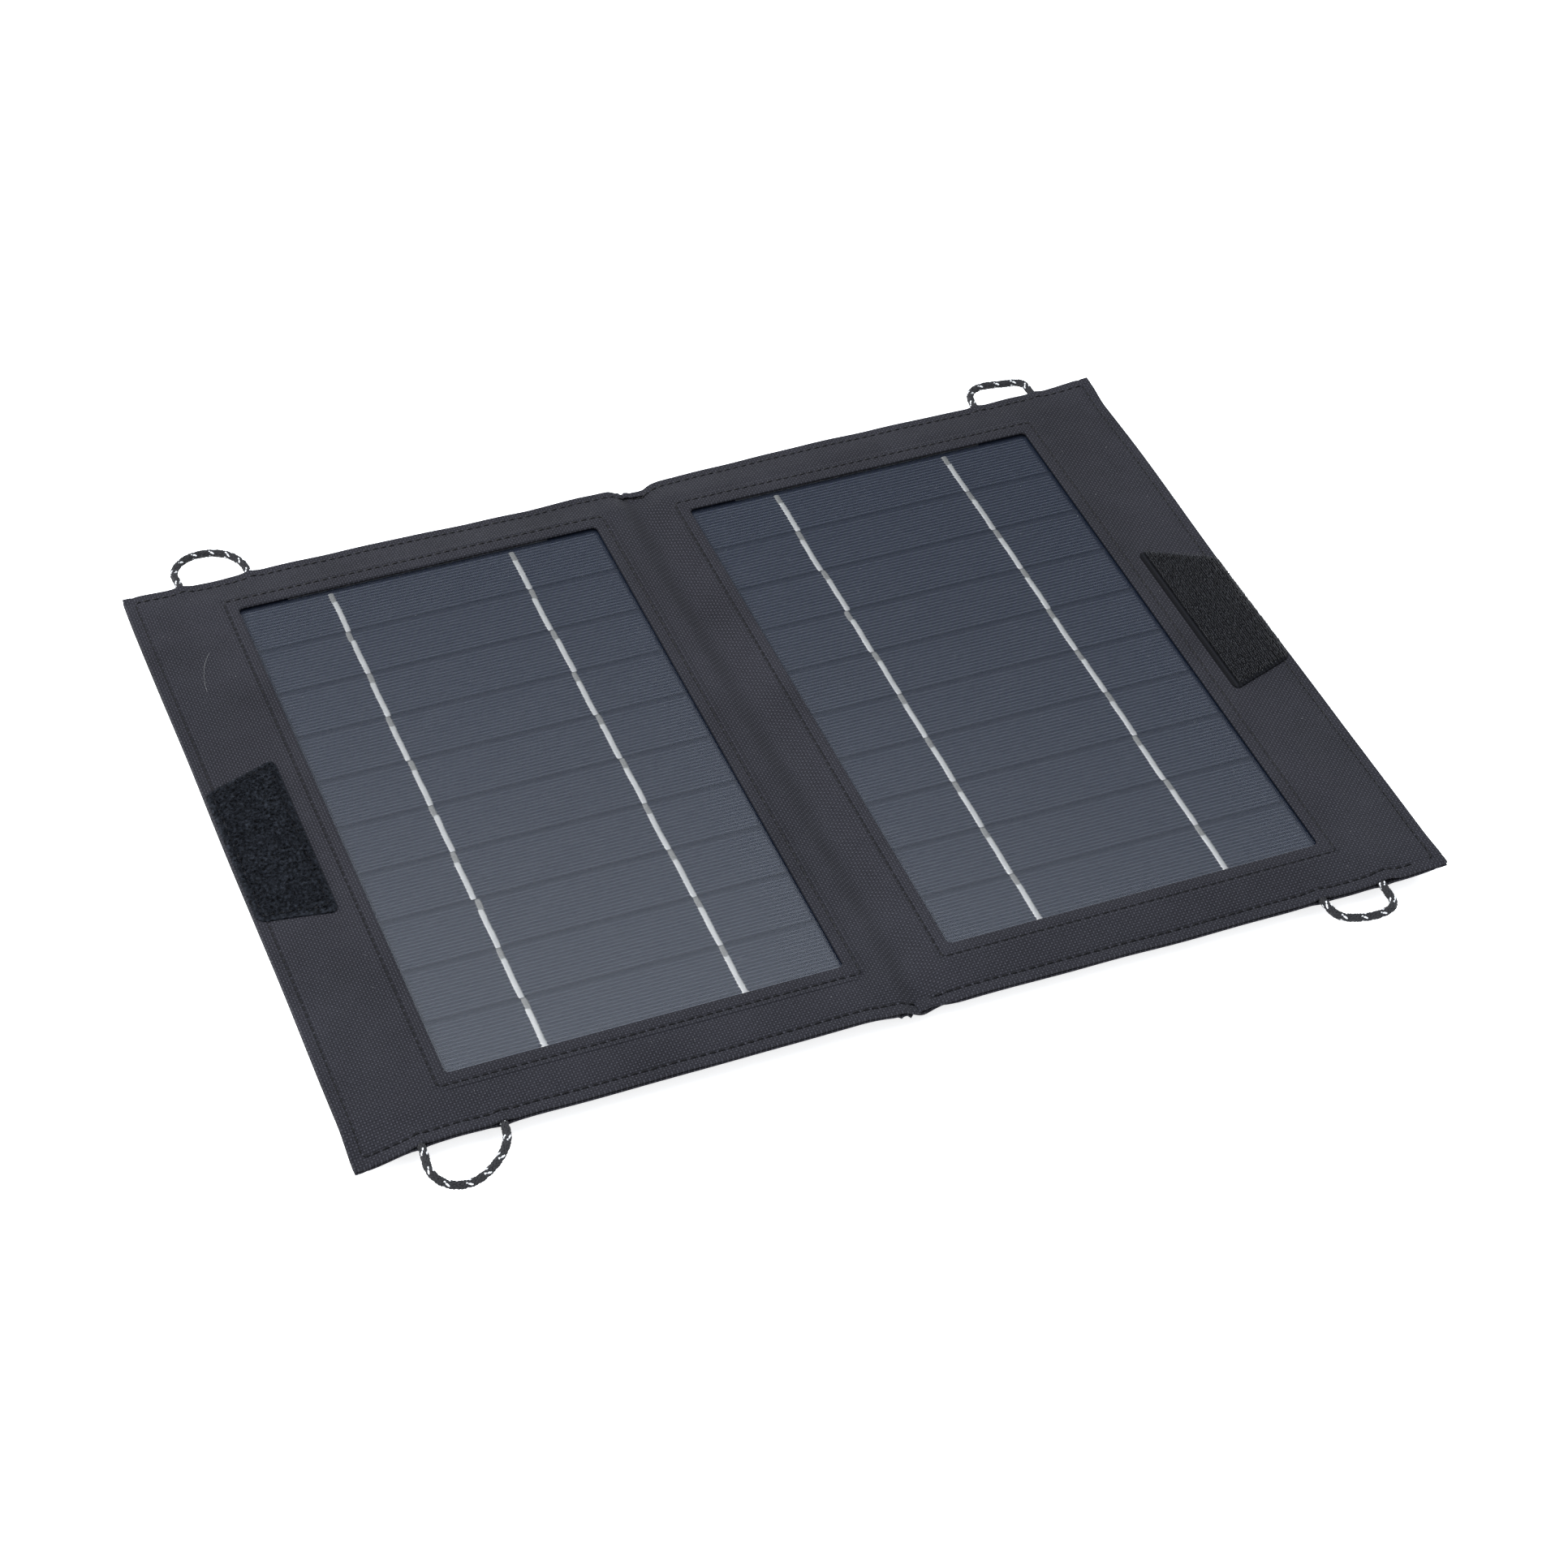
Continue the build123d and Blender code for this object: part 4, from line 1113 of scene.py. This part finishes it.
net_dark, net_light = (0.002, 0.002, 0.003), (0.035, 0.035, 0.039)
# the net cloth has the same painted highlight on the high places of its weave
net_cloth = woven_cloth("black net cloth", net_dark, net_light, 1.3, 0.35, roughness=0.7)
WALL = np.linspace(0, 3.2, 5)  # grid lines down a wall of the pocket
stitched_x = POCKET_BORDER[0] + POCKET_STITCH, POCKET_BORDER[1] - POCKET_STITCH
stitched_y = POCKET_BORDER[2] + POCKET_STITCH, POCKET_BORDER[3] - POCKET_STITCH
slot_ys = [ZIP_Y - ZIP_SLOT / 2, ZIP_Y + ZIP_SLOT / 2]
wall_xs = [*(POCKET_DEEP[0] + WALL), *(POCKET_DEEP[1] - WALL)]
wall_ys = [*(POCKET_DEEP[2] + WALL), *(POCKET_DEEP[3] - WALL), *(POCKET_SHALLOW[3] - WALL)]
pocket_xs = lines([*POCKET_BORDER[:2], ZIP_FROM, ZIP_TO, *wall_xs], 2.0, stitched_x)
pocket_ys = lines([*POCKET_BORDER[2:], *wall_ys, *slot_ys], 2.0, stitched_y)
zip_hole = (ZIP_FROM, ZIP_TO, *slot_ys)
pocket = cover(
    "pocket_cloth", pocket_xs, pocket_ys, pocket_height, net_cloth, [zip_hole], up=-1, radius=1.5,
    roll=[(0.15, -0.1), (0.1, -0.45), (-0.6, -0.55)],
)
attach(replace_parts(pocket, "pocket_panel"), "right_panel")


border = box_line(*stitched_x, *stitched_y)
zip_border = box_line(ZIP_FROM - 2, ZIP_TO + 2, slot_ys[0] - 2, slot_ys[1] + 2)
pocket_seams = [under_side(line, pocket_height, pitch=PATCH_PITCH, seed=11) for line in (border, zip_border)]
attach(sewn("pocket_stitches", pocket_seams), "right_panel")

coil_low, coil_high = span("zip_coils")
coil_z, coil_tall = (coil_low[2] + coil_high[2]) / 2, (coil_high[2] - coil_low[2]) / 2
turns = int((coil_high[0] - coil_low[0]) / 1.25)
spin = np.linspace(0, 2 * math.pi * turns, turns * 12)
paths = []
for side_y in (-1, 1):
    reach = (coil_high[1] - coil_low[1]) / 2
    middle = ZIP_Y + side_y * (reach + 0.8) / 2
    wide = (reach - 0.8) / 2 - 0.16
    paths.append(np.stack([
        np.linspace(coil_low[0] + 0.3, coil_high[0] - 0.3, len(spin)),
        middle + np.cos(spin) * wide * side_y, coil_z + np.sin(spin) * (coil_tall - 0.16),
    ], 1))
nylon = Finish("black nylon coil", roughness=0.3)
nylon_spot = nylon.noise(1.2, detail=2.0)
nylon.colour(nylon_spot, (0.008, 0.008, 0.009), (0.022, 0.022, 0.024))
piece = make_mesh("zip_coil_threads", *tubes(paths, 0.16, 6), nylon)
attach(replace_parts(piece, "zip_coils"), "right_panel")
print("zip turns on each side:", turns)

# %% [markdown]
# The last parts keep their CAD shape and get a finish each. A finish here is two tones mixed by noise at a
# scale that suits the material, with the same noise in the roughness and the bump, which is enough for
# small moulded and pressed parts that sit in shade.
# %% Finishes of the small parts
SMALL_PARTS = [  # name, dark and light tone, noise to a mm, roughness, metal, bump in mm, nodes
    ("moulded box plastic", (0.010, 0.010, 0.011), (0.022, 0.022, 0.024), 1.8, 0.55, 0.0, 0.04,
     ("box_base", "box_lid")),
    ("zinc plated screws", (0.42, 0.43, 0.45), (0.66, 0.67, 0.70), 2.5, 0.3, 1.0, 0.01, ("box_screws",)),
    ("nickel plated steel", (0.50, 0.50, 0.49), (0.70, 0.69, 0.67), 0.9, 0.22, 1.0, 0.01, ("usb_shell",)),
    ("circuit board lacquer", (0.006, 0.040, 0.018), (0.012, 0.075, 0.032), 0.8, 0.35, 0.0, 0.02,
     ("circuit_board",)),
    ("white socket plastic", (0.62, 0.62, 0.60), (0.80, 0.80, 0.78), 1.2, 0.45, 0.0, 0.01, ("usb_tongue",)),
    ("sintered ferrite", (0.020, 0.020, 0.021), (0.050, 0.049, 0.048), 3.0, 0.7, 0.0, 0.05, ("inductor",)),
    ("capacitor can", (0.45, 0.46, 0.48), (0.65, 0.66, 0.68), 0.9, 0.28, 1.0, 0.01, ("capacitor",)),
    ("chip epoxy", (0.008, 0.008, 0.009), (0.020, 0.020, 0.021), 2.5, 0.5, 0.0, 0.02, ("regulator_chip",)),
    ("green status lens", (0.05, 0.32, 0.09), (0.09, 0.50, 0.15), 0.7, 0.15, 0.0, 0.005, ("status_lens",)),
    ("black lead sheath", (0.008, 0.008, 0.009), (0.018, 0.018, 0.019), 0.9, 0.5, 0.0, 0.03,
     ("left_lead", "right_lead")),
    ("gunmetal zip casting", (0.10, 0.10, 0.105), (0.22, 0.22, 0.225), 1.6, 0.35, 0.9, 0.02,
     ("zip_slider", "zip_pull", "zip_stops")),
]
for name, dark, light, scale, rough, metal, depth, nodes in SMALL_PARTS:
    finish = Finish(name, metallic=metal)
    tone = finish.noise(scale, detail=3.0)
    finish.colour(tone, dark, light, roughness=tone * 0.2 + (rough - 0.1)).bump(tone, depth)
    paint(finish, *nodes)
# the zip tape has the same painted highlight on the high places of its weave
zip_tape = woven_cloth("black zip tape", (0.005, 0.005, 0.006), (0.030, 0.030, 0.033), 0.55, 0.1)
paint(zip_tape, "zip_tapes")
print("small finishes:", len(SMALL_PARTS))

# %% [markdown]
# ## Dust
# Black cloth never stays clean. A few pale specks and one hair of lint, all smaller than a thread, keep the
# surfaces from looking too new.
# %% Specks and a hair of lint
pick = np.random.default_rng(77)
lint = Finish("pale dust", roughness=0.9)
lint_tone = lint.noise(3.0)
lint.colour(lint_tone, (0.22, 0.22, 0.22), (0.45, 0.45, 0.44))
for side, edge in (("left", -1), ("right", 1)):
    x, y = edge * pick.uniform(10, 172, 110), pick.uniform(-128, 128, 110)
    x0, x1, y0, y1 = WINDOWS[side]
    on_glass = (x > x0 + 1) & (x < x1 - 1) & (y > y0 + 1) & (y < y1 - 1)
    near_hem = ~on_glass & (x > x0 - 6) & (x < x1 + 6) & (y > y0 - 6) & (y < y1 + 6)
    x, y, on_glass = x[~near_hem], y[~near_hem], on_glass[~near_hem]
    z = np.where(on_glass, Z_FILM, front_height(x, y)) + 0.05
    size, heading = pick.uniform(0.06, 0.28, x.size), pick.uniform(0, 2 * math.pi, x.size)
    reach = np.linspace(-0.5, 0.5, 3) * size[:, None]
    paths = np.stack([
        x[:, None] + reach * np.cos(heading)[:, None], y[:, None] + reach * np.sin(heading)[:, None],
        np.broadcast_to(z[:, None], (x.size, 3)),
    ], -1)
    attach(make_mesh(f"{side}_dust", *tubes(paths, 0.055, 4), lint), f"{side}_panel")
turn = np.linspace(2.25, 3.1, 40)
hair_x, hair_y = -145.5 + 15 * np.cos(turn), 76.0 + 24 * np.sin(turn)
hair = np.stack([hair_x, hair_y, front_height(hair_x, hair_y) + 0.08], 1)
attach(make_mesh("lint_hair", *tubes([hair], 0.022, 4), lint), "left_panel")
print("dust laid")

# %% [markdown]
# ## Sizes
# The last lines print the size of what was made beside the size of the CAD, so that the two can be
# compared.
# %% Sizes of the result
visual_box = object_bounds()
boxes = {"cad": cad_box, "visual": visual_box}
for name, box in boxes.items():
    print(name, "box in mm:", np.round(np.array(box) / MM, 2).tolist())
